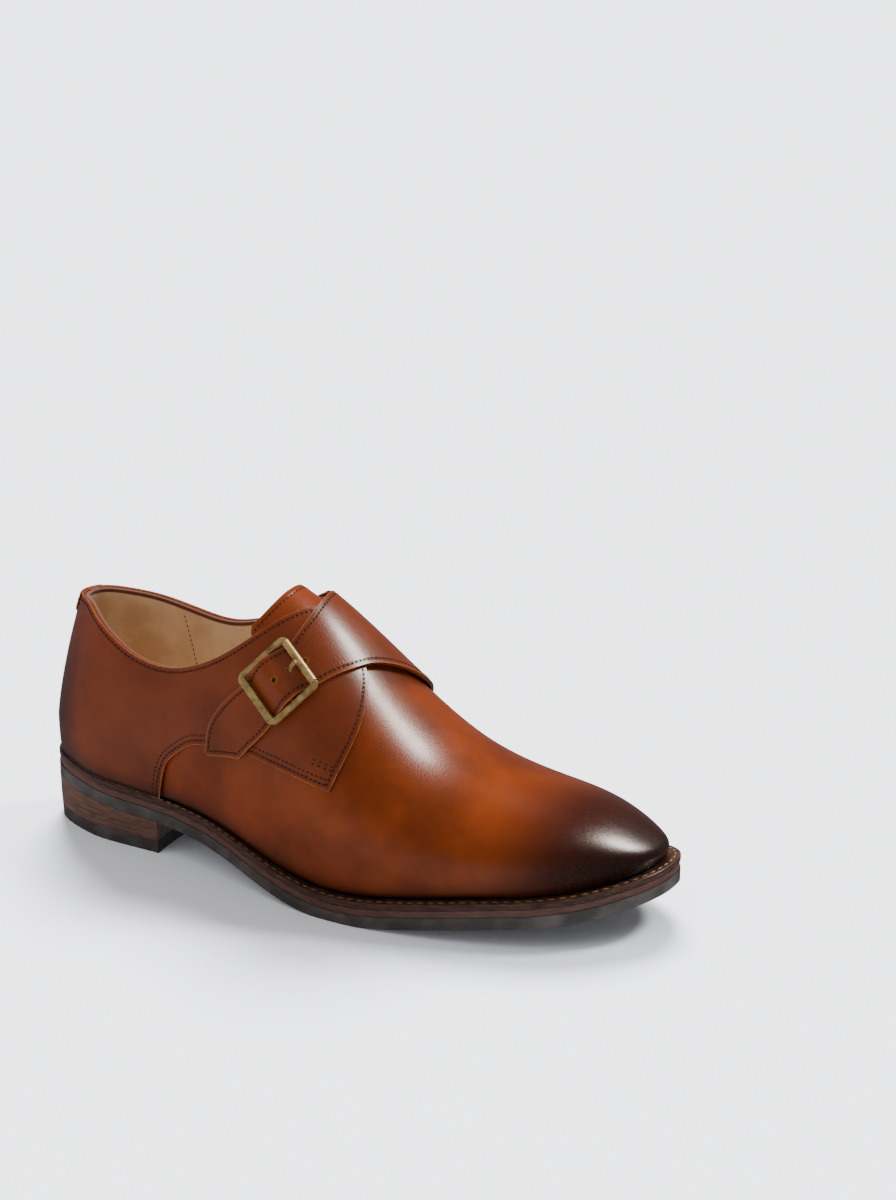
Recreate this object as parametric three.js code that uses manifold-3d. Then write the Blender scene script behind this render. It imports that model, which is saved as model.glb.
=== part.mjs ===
// Single monk strap shoe, right foot, men's size 44, built over the shape of its last.
// Millimetres. +X points to the toe, +Y to the medial side, +Z up. The origin lies on the floor
// under the middle of the heel seat.
import * as THREE from 'three';
import { mergeVertices } from 'three/addons/utils/BufferGeometryUtils.js';
import Module from 'manifold-3d';

const wasm = await Module();
wasm.setup();

// Driving sizes of the last
const LAST_LENGTH = 297;
const HEEL_CENTRE = 35.4;       // from the back of the last to the origin
const BALL_WIDTH = 94.4;
const INSTEP_HEIGHT = 104.2;    // spine over the feather edge at the instep
const SEAT_RISE = 18.3;         // heel seat over the forefoot
const TOE_SPRING = 16.8;

// Leather thicknesses
const UPPER_WALL = 1.8;
const QUARTER_LEATHER = 1.4;
const TONGUE_LEATHER = 1.6;
const BACK_STRIP_LEATHER = 1.1;
const GAP = 0.3;                // between pieces that touch
const SKIN_GAP = 0.45;          // between curved layers of leather
const BACK_SEAM = 0.0006;       // half gap between the quarters at the back, as a share along
const STRAP_RISE = QUARTER_LEATHER + 2 * SKIN_GAP;  // underside of the strap on the lateral quarter
const TONGUE_SLACK = 1.0;       // between the tongue and the upper's inner face

// Sole
const WELT_THICKNESS = 3.0;
const MIDSOLE_THICKNESS = 2.6;
const OUTSOLE_THICKNESS = 4.8;
const WELT_INNER_MARGIN = 8;    // how far the welt reaches in under the upper
const INSOLE_THICKNESS = 3.0;
const INSOLE_CLEARANCE = 0.5;   // to the upper's inner face
const BREAST_AT = 33.8;         // heel breast ahead of the origin
const BREAST_HOLLOW = 2.5;
const TOP_PIECE_THICKNESS = 6.0;
const LOWER_LIFT_THICKNESS = 4.6;
const HEEL_TAPER = 0.9;

// Buckle
const BUCKLE_WIDTH = 28.6;      // across the strap
const BUCKLE_LENGTH = 28.6;     // along the strap
const BUCKLE_CORNER = 3.6;
const ARM_WIDTH = 2.4;
const TAIL_BAR_WIDTH = 3.2;     // the bar over the strap's tail
const FRAME_THICKNESS = 2.4;
const ROD_RADIUS = 0.8;         // centre bar, and the bar inside the roller
const BUCKLE_LIFT = 4.5;        // bar centres over the last at the middle of the buckle
const ROLLER_RADIUS = 1.75;
const RUNNING_GAP = 0.2;
const PRONG_WIDTH = 2.2;
const PRONG_THICKNESS = 1.1;
const HOLE_RADIUS = 1.3;
const HOLE_PITCH = 7.0;
const PUNCH_LENGTH = 9;         // how far a hole's punch goes through the strap
const STRAP_WIDTH = 22.6;       // where it passes the buckle
const STRAP_PLAY = 0.6;         // between the strap and each arm of the frame
const TAB_WIDTH = 15;
const TAB_LEATHER = 0.8;
const TAB_LENGTH = 5.8;         // sewn length under the strap, from the centre bar towards the tail

const TREAD_FLAT = 0.5;         // depth of the curve that the flat spot under the forefoot takes off
const SOLE_THICKNESS = WELT_THICKNESS + MIDSOLE_THICKNESS + OUTSOLE_THICKNESS + 2 * GAP;

const table = (names, rows) => rows.map(
  row => Object.fromEntries(names.split(/ +/).map((name, i) => [name, row[i]])));

// Sections of the last. at: share of LAST_LENGTH from the back. axis, lateral, medial: shares of
// BALL_WIDTH at the feather edge. seat and toe: shares of SEAT_RISE and TOE_SPRING. spine: share of
// INSTEP_HEIGHT. The rest shape the rib: how far each side swells past the feather edge, how high its
// widest point lies, and how square its crown and its side are. margin is the welt's width in mm.
const SECTIONS = table(
  'at    axis  lateral medial seat   toe   spine swellL swellM widest crown side margin', [
  [0.000, 0.000, 0.250, 0.250, 1.180, 0.000, 0.994, 0.03, 0.03, 0.16, 1.46, 1.25, 3.2],
  [0.070, 0.000, 0.271, 0.276, 1.090, 0.000, 1.042, 0.05, 0.05, 0.16, 1.75, 1.35, 2.4],
  [0.120, 0.000, 0.302, 0.302, 1.000, 0.000, 1.100, 0.07, 0.07, 0.19, 2.15, 1.45, 2.0],
  [0.235, 0.000, 0.333, 0.328, 0.863, 0.000, 1.105, 0.05, 0.06, 0.20, 2.18, 1.58, 1.8],
  [0.350, -0.018, 0.380, 0.318, 0.645, 0.000, 1.090, 0.05, 0.07, 0.23, 2.17, 1.66, 2.6],
  [0.467, -0.042, 0.464, 0.359, 0.235, 0.000, 1.030, 0.05, 0.09, 0.27, 2.14, 1.79, 4.0],
  [0.583, -0.048, 0.518, 0.443, 0.000, 0.000, 0.801, 0.05, 0.10, 0.30, 2.14, 1.89, 5.2],
  [0.682, -0.033, 0.521, 0.479, 0.000, 0.149, 0.535, 0.04, 0.10, 0.31, 2.16, 1.95, 5.3],
  [0.765, -0.014, 0.500, 0.464, 0.000, 0.369, 0.389, 0.03, 0.09, 0.33, 2.20, 2.03, 5.4],
  [0.848, 0.020, 0.458, 0.401, 0.000, 0.542, 0.313, 0.03, 0.07, 0.34, 2.25, 2.12, 5.6],
  [0.930, 0.057, 0.396, 0.318, 0.000, 0.714, 0.248, 0.04, 0.03, 0.35, 2.30, 2.20, 6.0],
  [1.000, 0.091, 0.344, 0.240, 0.000, 1.000, 0.134, 0.03, 0.03, 0.33, 2.30, 2.20, 6.4],
]);
const TOE_ROUND = { from: 0.831, power: 2.35 };
const HEEL_ROUND = { from: 0.1325, power: 2.1 };
const TOE_FAN = 0.715;          // ribs ahead of this share turn round the toe
const HEEL_FAN = 0.202;         // ribs behind this share turn round the heel

// Natural cubic spline through (xs, ys).
function spline(xs, ys) {
  const n = xs.length;
  const bend = new Array(n).fill(0);
  const carry = new Array(n).fill(0);
  for (let i = 1; i < n - 1; i++) {
    const share = (xs[i] - xs[i - 1]) / (xs[i + 1] - xs[i - 1]);
    const pivot = share * bend[i - 1] + 2;
    bend[i] = (share - 1) / pivot;
    const slopes = (ys[i + 1] - ys[i]) / (xs[i + 1] - xs[i]) - (ys[i] - ys[i - 1]) / (xs[i] - xs[i - 1]);
    carry[i] = (6 * slopes / (xs[i + 1] - xs[i - 1]) - share * carry[i - 1]) / pivot;
  }
  for (let i = n - 2; i >= 0; i--) bend[i] = bend[i] * bend[i + 1] + carry[i];
  return x => {
    let k = 0;
    while (k < n - 2 && x > xs[k + 1]) k++;
    const h = xs[k + 1] - xs[k];
    const a = (xs[k + 1] - x) / h;
    const b = 1 - a;
    return a * ys[k] + b * ys[k + 1] + ((a ** 3 - a) * bend[k] + (b ** 3 - b) * bend[k + 1]) * h * h / 6;
  };
}

const clamp = (x, low, high) => Math.min(high, Math.max(low, x));
const column = name => spline(SECTIONS.map(row => row.at), SECTIONS.map(row => row[name]));
const lastColumns = Object.fromEntries(Object.keys(SECTIONS[0]).map(name => [name, column(name)]));
const featherHeights = SECTIONS.map(row => SOLE_THICKNESS + row.seat * SEAT_RISE + row.toe * TOE_SPRING);
const stationShares = SECTIONS.map(row => row.at);
const featherHeight = spline(stationShares, featherHeights);
const spineHeight = spline(stationShares, SECTIONS.map((row, i) => featherHeights[i] + row.spine * INSTEP_HEIGHT));
const shareAt = x => (x + HEEL_CENTRE) / LAST_LENGTH;

// Rounding of the outline at both ends: 1 along the sides, 0 at the tips.
function endRound(share) {
  if (share > TOE_ROUND.from) {
    const t = clamp((share - TOE_ROUND.from) / (1 - TOE_ROUND.from), 0, 1);
    return (1 - t ** TOE_ROUND.power) ** (1 / TOE_ROUND.power);
  }
  if (share < HEEL_ROUND.from) {
    const t = clamp((HEEL_ROUND.from - share) / HEEL_ROUND.from, 0, 1);
    return (1 - t ** HEEL_ROUND.power) ** (1 / HEEL_ROUND.power);
  }
  return 1;
}

// Feather edge, the last's lower outline. side is -1 on the lateral side and +1 on the medial side.
function feather(share, side) {
  const half = lastColumns[side < 0 ? 'lateral' : 'medial'](share) * endRound(share);
  return [share * LAST_LENGTH - HEEL_CENTRE, (lastColumns.axis(share) + side * half) * BALL_WIDTH];
}

// Share along the axis that a rib leans over to: ribs fan round the toe and the heel.
function ribCentre(share) {
  if (share > TOE_FAN) {
    const t = clamp((share - TOE_FAN) / (1 - TOE_FAN), 0, 1);
    return TOE_FAN + (1 - TOE_FAN) * (t - t * t / 2);
  }
  if (share < HEEL_FAN) {
    const t = clamp((HEEL_FAN - share) / HEEL_FAN, 0, 1);
    return HEEL_FAN - HEEL_FAN * (t - t * t / 2);
  }
  return share;
}

// along runs from 0 at the back seam to 1 at the toe tip, even along the feather edge.
const ARC_STEPS = 800;
const arcShares = Array.from({ length: ARC_STEPS + 1 }, (_, i) => 0.5 - 0.5 * Math.cos(Math.PI * i / ARC_STEPS));
function arcLengths(side) {
  const lengths = [0];
  for (let i = 1; i <= ARC_STEPS; i++) {
    const [x0, y0] = feather(arcShares[i - 1], side);
    const [x1, y1] = feather(arcShares[i], side);
    lengths.push(lengths[i - 1] + Math.hypot(x1 - x0, y1 - y0));
  }
  return lengths.map(length => length / lengths[ARC_STEPS]);
}
const lateralArc = arcLengths(-1);
const medialArc = arcLengths(1);
const meanArc = lateralArc.map((length, i) => (length + medialArc[i]) / 2);
function lookUp(value, from, to) {
  let low = 0;
  let high = from.length - 1;
  while (high - low > 1) {
    const mid = (low + high) >> 1;
    if (from[mid] > value) high = mid;
    else low = mid;
  }
  return to[low] + (to[high] - to[low]) * clamp((value - from[low]) / (from[high] - from[low]), 0, 1);
}
const stationAt = along => lookUp(along, meanArc, arcShares);
const alongAt = share => lookUp(share, arcShares, meanArc);

// One rib of the last, from the feather edge up to the spine, as points with their arc lengths.
const RIB_STEPS = 120;
const ribStore = new Map();
function rib(along, side) {
  const key = `${along.toFixed(6)} ${side}`;
  if (ribStore.has(key)) return ribStore.get(key);
  const share = stationAt(along);
  const [fx, fy] = feather(share, side);
  const centre = ribCentre(share);
  const cx = centre * LAST_LENGTH - HEEL_CENTRE;
  const cy = lastColumns.axis(centre) * BALL_WIDTH;
  const swell = lastColumns[side < 0 ? 'swellL' : 'swellM'](share);
  const widest = lastColumns.widest(share);
  const crown = 2 / lastColumns.crown(share);
  const wall = 2 / lastColumns.side(share);
  const lower = RIB_STEPS / 4;
  const points = [];
  const lengths = [];
  for (let i = 0; i < RIB_STEPS; i++) {
    let reach;
    let rise;
    if (i < lower) {
      const angle = Math.PI / 3 * (1 - i / lower);
      reach = 1 + swell * (2 * Math.cos(angle) - 1);
      rise = widest * (1 - Math.sin(angle) / Math.sin(Math.PI / 3));
    } else {
      const angle = Math.PI / 2 * (i - lower) / (RIB_STEPS - 1 - lower);
      reach = (1 + swell) * Math.max(0, Math.cos(angle)) ** crown;
      rise = widest + (1 - widest) * Math.sin(angle) ** wall;
    }
    const x = cx + reach * (fx - cx);
    const y = cy + reach * (fy - cy);
    const low = featherHeight(shareAt(x));
    const z = GAP + low + (spineHeight(shareAt(x)) - low) * rise;
    points.push(new THREE.Vector3(x, y, z));
    lengths.push(i ? lengths[i - 1] + points[i].distanceTo(points[i - 1]) : 0);
  }
  const found = { points, lengths };
  ribStore.set(key, found);
  return found;
}

// Point of the last. girth is -1 at the lateral feather edge, 0 on the spine, +1 at the medial one.
function lastPoint(along, girth) {
  let a = along;
  let g = girth;
  if (a < 0) {
    a = -a;
    g = -g;
  }
  if (a > 1) {
    a = 2 - a;
    g = -g;
  }
  const { points, lengths } = rib(a, g < 0 ? -1 : 1);
  const wanted = (1 - Math.min(1, Math.abs(g))) * lengths[RIB_STEPS - 1];
  let k = 0;
  while (k < RIB_STEPS - 2 && lengths[k + 1] < wanted) k++;
  return points[k].clone().lerp(points[k + 1], (wanted - lengths[k]) / (lengths[k + 1] - lengths[k]));
}

// Outward normal of the last, laid level at the feather edge so that layers stop on the welt's plane.
const NORMAL_STEP = 0.012;
const LEVEL_BAND = 0.08;
function lastNormal(along, girth) {
  const forward = lastPoint(along + NORMAL_STEP, girth).sub(lastPoint(along - NORMAL_STEP, girth));
  const low = clamp(girth - NORMAL_STEP, -1, 1);
  const high = clamp(girth + NORMAL_STEP, -1, 1);
  const across = lastPoint(along, high).sub(lastPoint(along, low));
  const normal = forward.cross(across).normalize();
  normal.z *= Math.min(1, (1 - Math.abs(girth)) / LEVEL_BAND);
  return normal.normalize();
}
const skin = (along, girth, lift) => lastPoint(along, girth).addScaledVector(lastNormal(along, girth), lift);

// Turns triangles of points into a mesh with shared corners.
function meshOf(name, triangles, material) {
  const geometry = new THREE.BufferGeometry();
  const numbers = triangles.flatMap(corners => corners.flatMap(p => [p.x, p.y, p.z]));
  geometry.setAttribute('position', new THREE.Float32BufferAttribute(numbers, 3));
  const merged = mergeVertices(geometry, 1e-4);
  const mesh = new THREE.Mesh(merged, material);
  mesh.name = name;
  return mesh;
}
function quad(list, a, b, c, d) {
  const ab = a.distanceToSquared(c) <= b.distanceToSquared(d);
  if (ab) list.push([a, b, c], [a, c, d]);
  else list.push([a, b, d], [b, c, d]);
}
const isThin = ([a, b, c]) => a.distanceTo(b) < 1e-3 || b.distanceTo(c) < 1e-3 || a.distanceTo(c) < 1e-3;

// Wall between two grids of points with the same rows: outer faces out, inner faces in. Its edges run
// along the first column and, for the first rimRows rows, along the last one.
function wallBetween(outer, inner, rimRows = outer.length - 1) {
  const list = [];
  const rows = outer.length;
  const columns = outer[0].length;
  for (let i = 0; i < rows - 1; i++) {
    for (let j = 0; j < columns - 1; j++) {
      quad(list, outer[i][j], outer[i + 1][j], outer[i + 1][j + 1], outer[i][j + 1]);
      quad(list, inner[i][j], inner[i][j + 1], inner[i + 1][j + 1], inner[i + 1][j]);
    }
  }
  for (let i = 0; i < rows - 1; i++) {
    quad(list, outer[i][0], inner[i][0], inner[i + 1][0], outer[i + 1][0]);
    if (i >= rimRows) continue;
    quad(list, outer[i][columns - 1], outer[i + 1][columns - 1], inner[i + 1][columns - 1], inner[i][columns - 1]);
  }
  return list;
}
function closedSheet(outer, inner) {
  const list = wallBetween(outer, inner);
  const end = outer.length - 1;
  for (let j = 0; j < outer[0].length - 1; j++) {
    quad(list, outer[0][j], outer[0][j + 1], inner[0][j + 1], inner[0][j]);
    quad(list, outer[end][j], inner[end][j], inner[end][j + 1], outer[end][j + 1]);
  }
  return list.filter(triangle => !isThin(triangle));
}

const leather = (color, roughness) => new THREE.MeshStandardMaterial({ color, roughness, metalness: 0 });
const brass = new THREE.MeshStandardMaterial({ color: 0x8d7f4e, roughness: 0.32, metalness: 1 });
const cognac = leather(0x8a4420, 0.3);
const quarterLeather = leather(0x74412b, 0.34);
const liningLeather = leather(0x9a7040, 0.8);
const weltLeather = leather(0x4a2c20, 0.5);
const darkRubber = new THREE.MeshStandardMaterial({ color: 0x3a322e, roughness: 0.75, metalness: 0 });

// Topline: how far below the spine the collar's edge lies, as girth shares, up to the throat.
const TOPLINE = table('along lateral medial', [
  [0.000, 0.338, 0.338],
  [0.060, 0.335, 0.342],
  [0.105, 0.350, 0.372],
  [0.150, 0.415, 0.420],
  [0.203, 0.490, 0.458],
  [0.262, 0.505, 0.457],
  [0.312, 0.465, 0.408],
  [0.352, 0.405, 0.350],
  [0.395, 0.310, 0.255],
  [0.430, 0.205, 0.160],
  [0.455, 0.110, 0.085],
  [0.478, 0.000, 0.000],
]);
const THROAT = TOPLINE[TOPLINE.length - 1].along;
const toplineSplines = {
  [-1]: spline(TOPLINE.map(row => row.along), TOPLINE.map(row => row.lateral)),
  [1]: spline(TOPLINE.map(row => row.along), TOPLINE.map(row => row.medial)),
};
const topline = (along, side) => (along >= THROAT ? 0 : Math.max(0, toplineSplines[side](along)));

// Upper: one wall over the last, open at the collar and underneath.
const UPPER_STATIONS_BACK = 22;
const UPPER_STATIONS_FRONT = 24;
const UPPER_RIB_STEPS = 8;
function makeUpper() {
  const stations = [];
  for (let i = 0; i <= UPPER_STATIONS_BACK; i++) stations.push(THROAT * i / UPPER_STATIONS_BACK);
  for (let i = 1; i <= UPPER_STATIONS_FRONT; i++) stations.push(THROAT + (1 - THROAT) * i / UPPER_STATIONS_FRONT);
  const grid = (side, lift) => stations.map(along => {
    const top = topline(along, side);
    return Array.from({ length: UPPER_RIB_STEPS + 1 }, (_, j) => {
      const girth = 1 - (1 - top) * j / UPPER_RIB_STEPS;
      return skin(along, side * girth, lift);
    });
  });
  const list = [];
  for (const side of [-1, 1]) {
    const outer = grid(side, 0);
    const inner = grid(side, -UPPER_WALL);
    const wall = side < 0 ? wallBetween(outer, inner, UPPER_STATIONS_BACK)
      : wallBetween(inner, outer, UPPER_STATIONS_BACK);
    list.push(...wall.filter(triangle => !isThin(triangle)));
  }
  return list;
}

// Rows of a panel: both ends of each row as along and girth. A row with no upper girth ends on the
// topline. A row marked as a corner breaks the curve there.
function panelEdges(rows, side, steps) {
  const corners = rows.map((row, i) => (row.corner || i === 0 || i === rows.length - 1 ? i : -1)).filter(i => i >= 0);
  const edges = [];
  for (let c = 0; c < corners.length - 1; c++) {
    const part = rows.slice(corners[c], corners[c + 1] + 1);
    const index = part.map((_, i) => i);
    const through = name => spline(index, part.map(row => row[name]));
    const columns = Object.fromEntries(['lowAlong', 'lowGirth', 'upAlong', 'upGirth', 'lift'].map(
      name => [name, through(name)]));
    const count = (part.length - 1) * steps;
    for (let i = c ? 1 : 0; i <= count; i++) {
      const t = i / steps;
      const row = Object.fromEntries(Object.entries(columns).map(([name, at]) => [name, at(t)]));
      if (part[Math.floor(t)].rim && part[Math.ceil(t)].rim) row.upGirth = side * topline(row.upAlong, side);
      edges.push(row);
    }
  }
  return edges;
}
const STRAP_ACROSS = 8;         // cells from edge to edge of the medial quarter and strap
function panel(rows, side, thickness, steps, across) {
  const edges = panelEdges(rows, side, steps);
  const grid = extra => edges.map(row => Array.from({ length: across + 1 }, (_, j) => {
    const t = j / across;
    const along = row.lowAlong + (row.upAlong - row.lowAlong) * t;
    const girth = row.lowGirth + (row.upGirth - row.lowGirth) * t;
    return skin(along, girth, row.lift + extra);
  }));
  return side < 0 ? closedSheet(grid(thickness), grid(0)) : closedSheet(grid(0), grid(thickness));
}
const panelRows = (side, rows) => table('lowAlong lowGirth upAlong upGirth lift corner rim', rows.map(
  ([lowAlong, lowGirth, upAlong, upGirth, lift, corner]) => [lowAlong, lowGirth, upAlong,
    upGirth === null ? side * topline(upAlong, side) : upGirth, lift, corner === 'corner', upGirth === null]));

// Lateral quarter: from the back seam along the welt, up the arc, along the seam to the flap's corner
// and up its front edge to the throat.
const LATERAL_ROWS = panelRows(-1, [
  [BACK_SEAM, -1.000, BACK_SEAM, null, SKIN_GAP],
  [0.030, -1.000, 0.030, null, SKIN_GAP],
  [0.060, -1.000, 0.060, null, SKIN_GAP],
  [0.090, -1.000, 0.090, null, SKIN_GAP],
  [0.125, -1.000, 0.125, null, SKIN_GAP],
  [0.175, -1.000, 0.172, null, SKIN_GAP],
  [0.220, -1.000, 0.212, null, SKIN_GAP],
  [0.255, -1.000, 0.240, null, SKIN_GAP, 'corner'],
  [0.268, -0.865, 0.262, null, SKIN_GAP],
  [0.288, -0.800, 0.285, null, SKIN_GAP],
  [0.315, -0.745, 0.312, null, SKIN_GAP],
  [0.347, -0.713, 0.340, null, SKIN_GAP],
  [0.390, -0.675, 0.370, null, SKIN_GAP],
  [0.440, -0.648, 0.400, null, SKIN_GAP],
  [0.500, -0.622, 0.428, null, SKIN_GAP],
  [0.560, -0.600, 0.450, null, SKIN_GAP, 'corner'],
  [0.573, -0.430, 0.456, null, SKIN_GAP],
  [0.573, -0.280, 0.462, null, SKIN_GAP],
  [0.560, -0.155, 0.468, null, SKIN_GAP],
  [0.545, -0.095, 0.473, null, SKIN_GAP],
]);

// Lift of the strap's underside on its way up over the buckle's centre bar.
const BAR_RISE = BUCKLE_LIFT + ROD_RADIUS + TAB_LEATHER + 3 * RUNNING_GAP;
const overBar = share => STRAP_RISE + share * (BAR_RISE - STRAP_RISE);

// Medial quarter and strap in one piece: from the back seam to the flap's corner, up and over the
// instep, through the buckle and down to the tail's point.
const STRAP_ROWS = panelRows(1, [
  [BACK_SEAM, 1.000, BACK_SEAM, null, SKIN_GAP],
  [0.030, 1.000, 0.030, null, SKIN_GAP],
  [0.060, 1.000, 0.060, null, SKIN_GAP],
  [0.090, 1.000, 0.090, null, SKIN_GAP],
  [0.125, 1.000, 0.125, null, SKIN_GAP],
  [0.170, 1.000, 0.165, null, SKIN_GAP],
  [0.215, 1.000, 0.205, null, SKIN_GAP],
  [0.245, 1.000, 0.235, null, SKIN_GAP, 'corner'],
  [0.258, 0.870, 0.262, null, SKIN_GAP],
  [0.283, 0.780, 0.290, null, SKIN_GAP],
  [0.315, 0.705, 0.318, null, SKIN_GAP],
  [0.350, 0.655, 0.345, null, SKIN_GAP],
  [0.400, 0.627, 0.372, null, SKIN_GAP],
  [0.455, 0.615, 0.396, null, SKIN_GAP],
  [0.505, 0.600, 0.418, null, SKIN_GAP],
  [0.548, 0.580, 0.432, null, 0.4, 'corner'],
  [0.563, 0.455, 0.443, 0.118, 0.8],
  [0.576, 0.325, 0.450, 0.105, 1.3],
  [0.580, 0.200, 0.456, 0.085, 1.7],
  [0.571, 0.085, 0.460, 0.045, STRAP_RISE],
  [0.558, -0.012, 0.464, -0.010, STRAP_RISE],
  [0.548, -0.085, 0.467, -0.065, STRAP_RISE],
  [0.538, -0.160, 0.468, -0.125, STRAP_RISE],
  [0.525, -0.230, 0.466, -0.187, STRAP_RISE],
  [0.512, -0.294, 0.461, -0.242, overBar(0.02)],
  [0.4995, -0.343, 0.4485, -0.293, overBar(0.48)],
  [0.490, -0.391, 0.437, -0.338, overBar(1)],
  [0.4795, -0.439, 0.425, -0.385, overBar(0.55)],
  [0.468, -0.488, 0.412, -0.432, STRAP_RISE],
  [0.4535, -0.552, 0.391, -0.495, STRAP_RISE],
  [0.4345, -0.616, 0.373, -0.553, STRAP_RISE],
  [0.4155, -0.679, 0.360, -0.604, STRAP_RISE, 'corner'],
  [0.396, -0.697, 0.3535, -0.648, STRAP_RISE],
  [0.375, -0.718, 0.351, -0.695, STRAP_RISE],
  [0.354, -0.738, 0.350, -0.733, STRAP_RISE],
]);

// The strap is cut to pass between the buckle's arms, from the instep down to its tail.
const STRAP_FROM = 23;
const strapShare = (BUCKLE_WIDTH - 2 * ARM_WIDTH - 2 * STRAP_PLAY) / STRAP_WIDTH;
for (const row of STRAP_ROWS.slice(STRAP_FROM)) {
  for (const [low, up] of [['lowAlong', 'upAlong'], ['lowGirth', 'upGirth']]) {
    const middle = (row[low] + row[up]) / 2;
    row[low] = middle + (row[low] - middle) * strapShare;
    row[up] = middle + (row[up] - middle) * strapShare;
  }
}

// Tongue: under the strap, from below the vamp's edge to its top over the instep. reach is its half
// width as a girth share.
const TONGUE_ROWS = table('along reach', [
  [0.422, 0.255],
  [0.430, 0.285],
  [0.442, 0.290],
  [0.455, 0.280],
  [0.480, 0.265],
  [0.505, 0.245],
  [0.530, 0.215],
  [0.550, 0.180],
]);
const TONGUE_TOP_CURVE = 0.5;
const TONGUE_ACROSS = 12;
function makeTongue() {
  const under = -(UPPER_WALL + TONGUE_SLACK);
  const first = TONGUE_ROWS[0].along;
  const last = TONGUE_ROWS[TONGUE_ROWS.length - 1].along;
  const grid = lift => TONGUE_ROWS.map(row => Array.from({ length: TONGUE_ACROSS + 1 }, (_, j) => {
    const girth = row.reach * (2 * j / TONGUE_ACROSS - 1);
    const fade = (last - row.along) / (last - first);
    return skin(row.along - TONGUE_TOP_CURVE * fade * girth * girth, girth, lift);
  }));
  return closedSheet(grid(under), grid(under - TONGUE_LEATHER));
}

// Back strip: a cap at the topline that steps in to a narrow strip down the back seam. Its reach to
// each side of the seam is a share along the feather edge.
const BACK_STRIP_ROWS = table('girth reach', [
  [0.337, 0.040],
  [0.370, 0.040],
  [0.400, 0.038],
  [0.415, 0.028],
  [0.430, 0.017],
  [0.470, 0.013],
  [0.530, 0.012],
  [0.590, 0.012],
  [0.640, 0.011],
]);
const BACK_STRIP_ACROSS = 8;
function makeBackStrip() {
  const under = SKIN_GAP + QUARTER_LEATHER + GAP;
  const grid = lift => BACK_STRIP_ROWS.map(row => Array.from({ length: BACK_STRIP_ACROSS + 1 }, (_, j) => {
    const along = row.reach * (2 * j / BACK_STRIP_ACROSS - 1);
    return along < 0 ? skin(-along, -row.girth, lift) : skin(along, row.girth, lift);
  }));
  return closedSheet(grid(under), grid(under + BACK_STRIP_LEATHER));
}

// Sole edge: the feather edge moved out by a margin, at one share along.
function soleEdge(along, side, margin) {
  const step = 0.004;
  const point = a => {
    const turned = a < 0 || a > 1;
    const inside = a < 0 ? -a : a > 1 ? 2 - a : a;
    const [x, y] = feather(stationAt(inside), turned ? -side : side);
    return new THREE.Vector2(x, y);
  };
  const run = point(along + step).sub(point(along - step)).normalize();
  const out = new THREE.Vector2(-run.y, run.x).multiplyScalar(side);
  return point(along).addScaledVector(out, margin);
}
const weltMargin = along => lastColumns.margin(stationAt(along));
const soleTop = x => featherHeight(shareAt(x));

// Plate with one row of two edge points for each station, between a lower and an upper height.
function plate(stations, margins, lowAt, highAt) {
  const rows = stations.map((along, i) => [-1, 1].map(side => soleEdge(along, side, margins[i])));
  const lift = (p, at) => new THREE.Vector3(p.x, p.y, at(p.x));
  const grid = at => rows.map(row => row.map(p => lift(p, at)));
  return closedSheet(grid(highAt), grid(lowAt));
}
const SOLE_STEPS = 40;
const SOLE_STATIONS = Array.from({ length: SOLE_STEPS + 1 }, (_, i) => i / SOLE_STEPS);
const outerMargins = SOLE_STATIONS.map(weltMargin);

// Welt: a strip all round the feather edge, level with the insole's underside.
function makeWelt() {
  const ring = [];
  for (const along of SOLE_STATIONS) ring.push({ along, side: -1 });
  for (const along of SOLE_STATIONS.slice(1, -1).reverse()) ring.push({ along, side: 1 });
  const corners = ring.map(({ along, side }) => {
    const outer = soleEdge(along, side, weltMargin(along));
    const inner = soleEdge(along, side, -WELT_INNER_MARGIN);
    const place = (p, drop) => new THREE.Vector3(p.x, p.y, soleTop(p.x) - drop);
    return [place(outer, WELT_THICKNESS), place(outer, 0), place(inner, 0), place(inner, WELT_THICKNESS)];
  });
  const list = [];
  corners.forEach((from, i) => {
    const to = corners[(i + 1) % corners.length];
    for (let k = 0; k < 4; k++) {
      const next = (k + 1) % 4;
      quad(list, from[k], to[k], to[next], from[next]);
    }
  });
  return list;
}

// Insole: a plate with a deeper middle that fills the welt's ring.
function makeInsole() {
  const place = (p, rise) => new THREE.Vector3(p.x, p.y, soleTop(p.x) + rise);
  const sections = SOLE_STATIONS.map(along => {
    const half = side => {
      const wide = soleEdge(along, side, -UPPER_WALL - INSOLE_CLEARANCE);
      const narrow = soleEdge(along, side, -WELT_INNER_MARGIN - GAP);
      return [place(wide, GAP + INSOLE_THICKNESS), place(wide, GAP), place(narrow, GAP),
        place(narrow, -WELT_THICKNESS)];
    };
    return [...half(-1), ...half(1).reverse()];
  });
  const list = [];
  for (let i = 0; i < sections.length - 1; i++) {
    for (let k = 0; k < sections[i].length; k++) {
      const next = (k + 1) % sections[i].length;
      quad(list, sections[i][k], sections[i][next], sections[i + 1][next], sections[i + 1][k]);
    }
  }
  return list.filter(triangle => !isThin(triangle));
}

const MIDSOLE_DROP = WELT_THICKNESS + GAP;
const OUTSOLE_DROP = MIDSOLE_DROP + MIDSOLE_THICKNESS + GAP;
const midsole = () => plate(SOLE_STATIONS, outerMargins,
  x => soleTop(x) - MIDSOLE_DROP - MIDSOLE_THICKNESS, x => soleTop(x) - MIDSOLE_DROP);
const outsoleBottom = x => Math.max(0, soleTop(x) - SOLE_THICKNESS - TREAD_FLAT);
const outsole = () => plate(SOLE_STATIONS, outerMargins, outsoleBottom, x => soleTop(x) - OUTSOLE_DROP);

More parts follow.
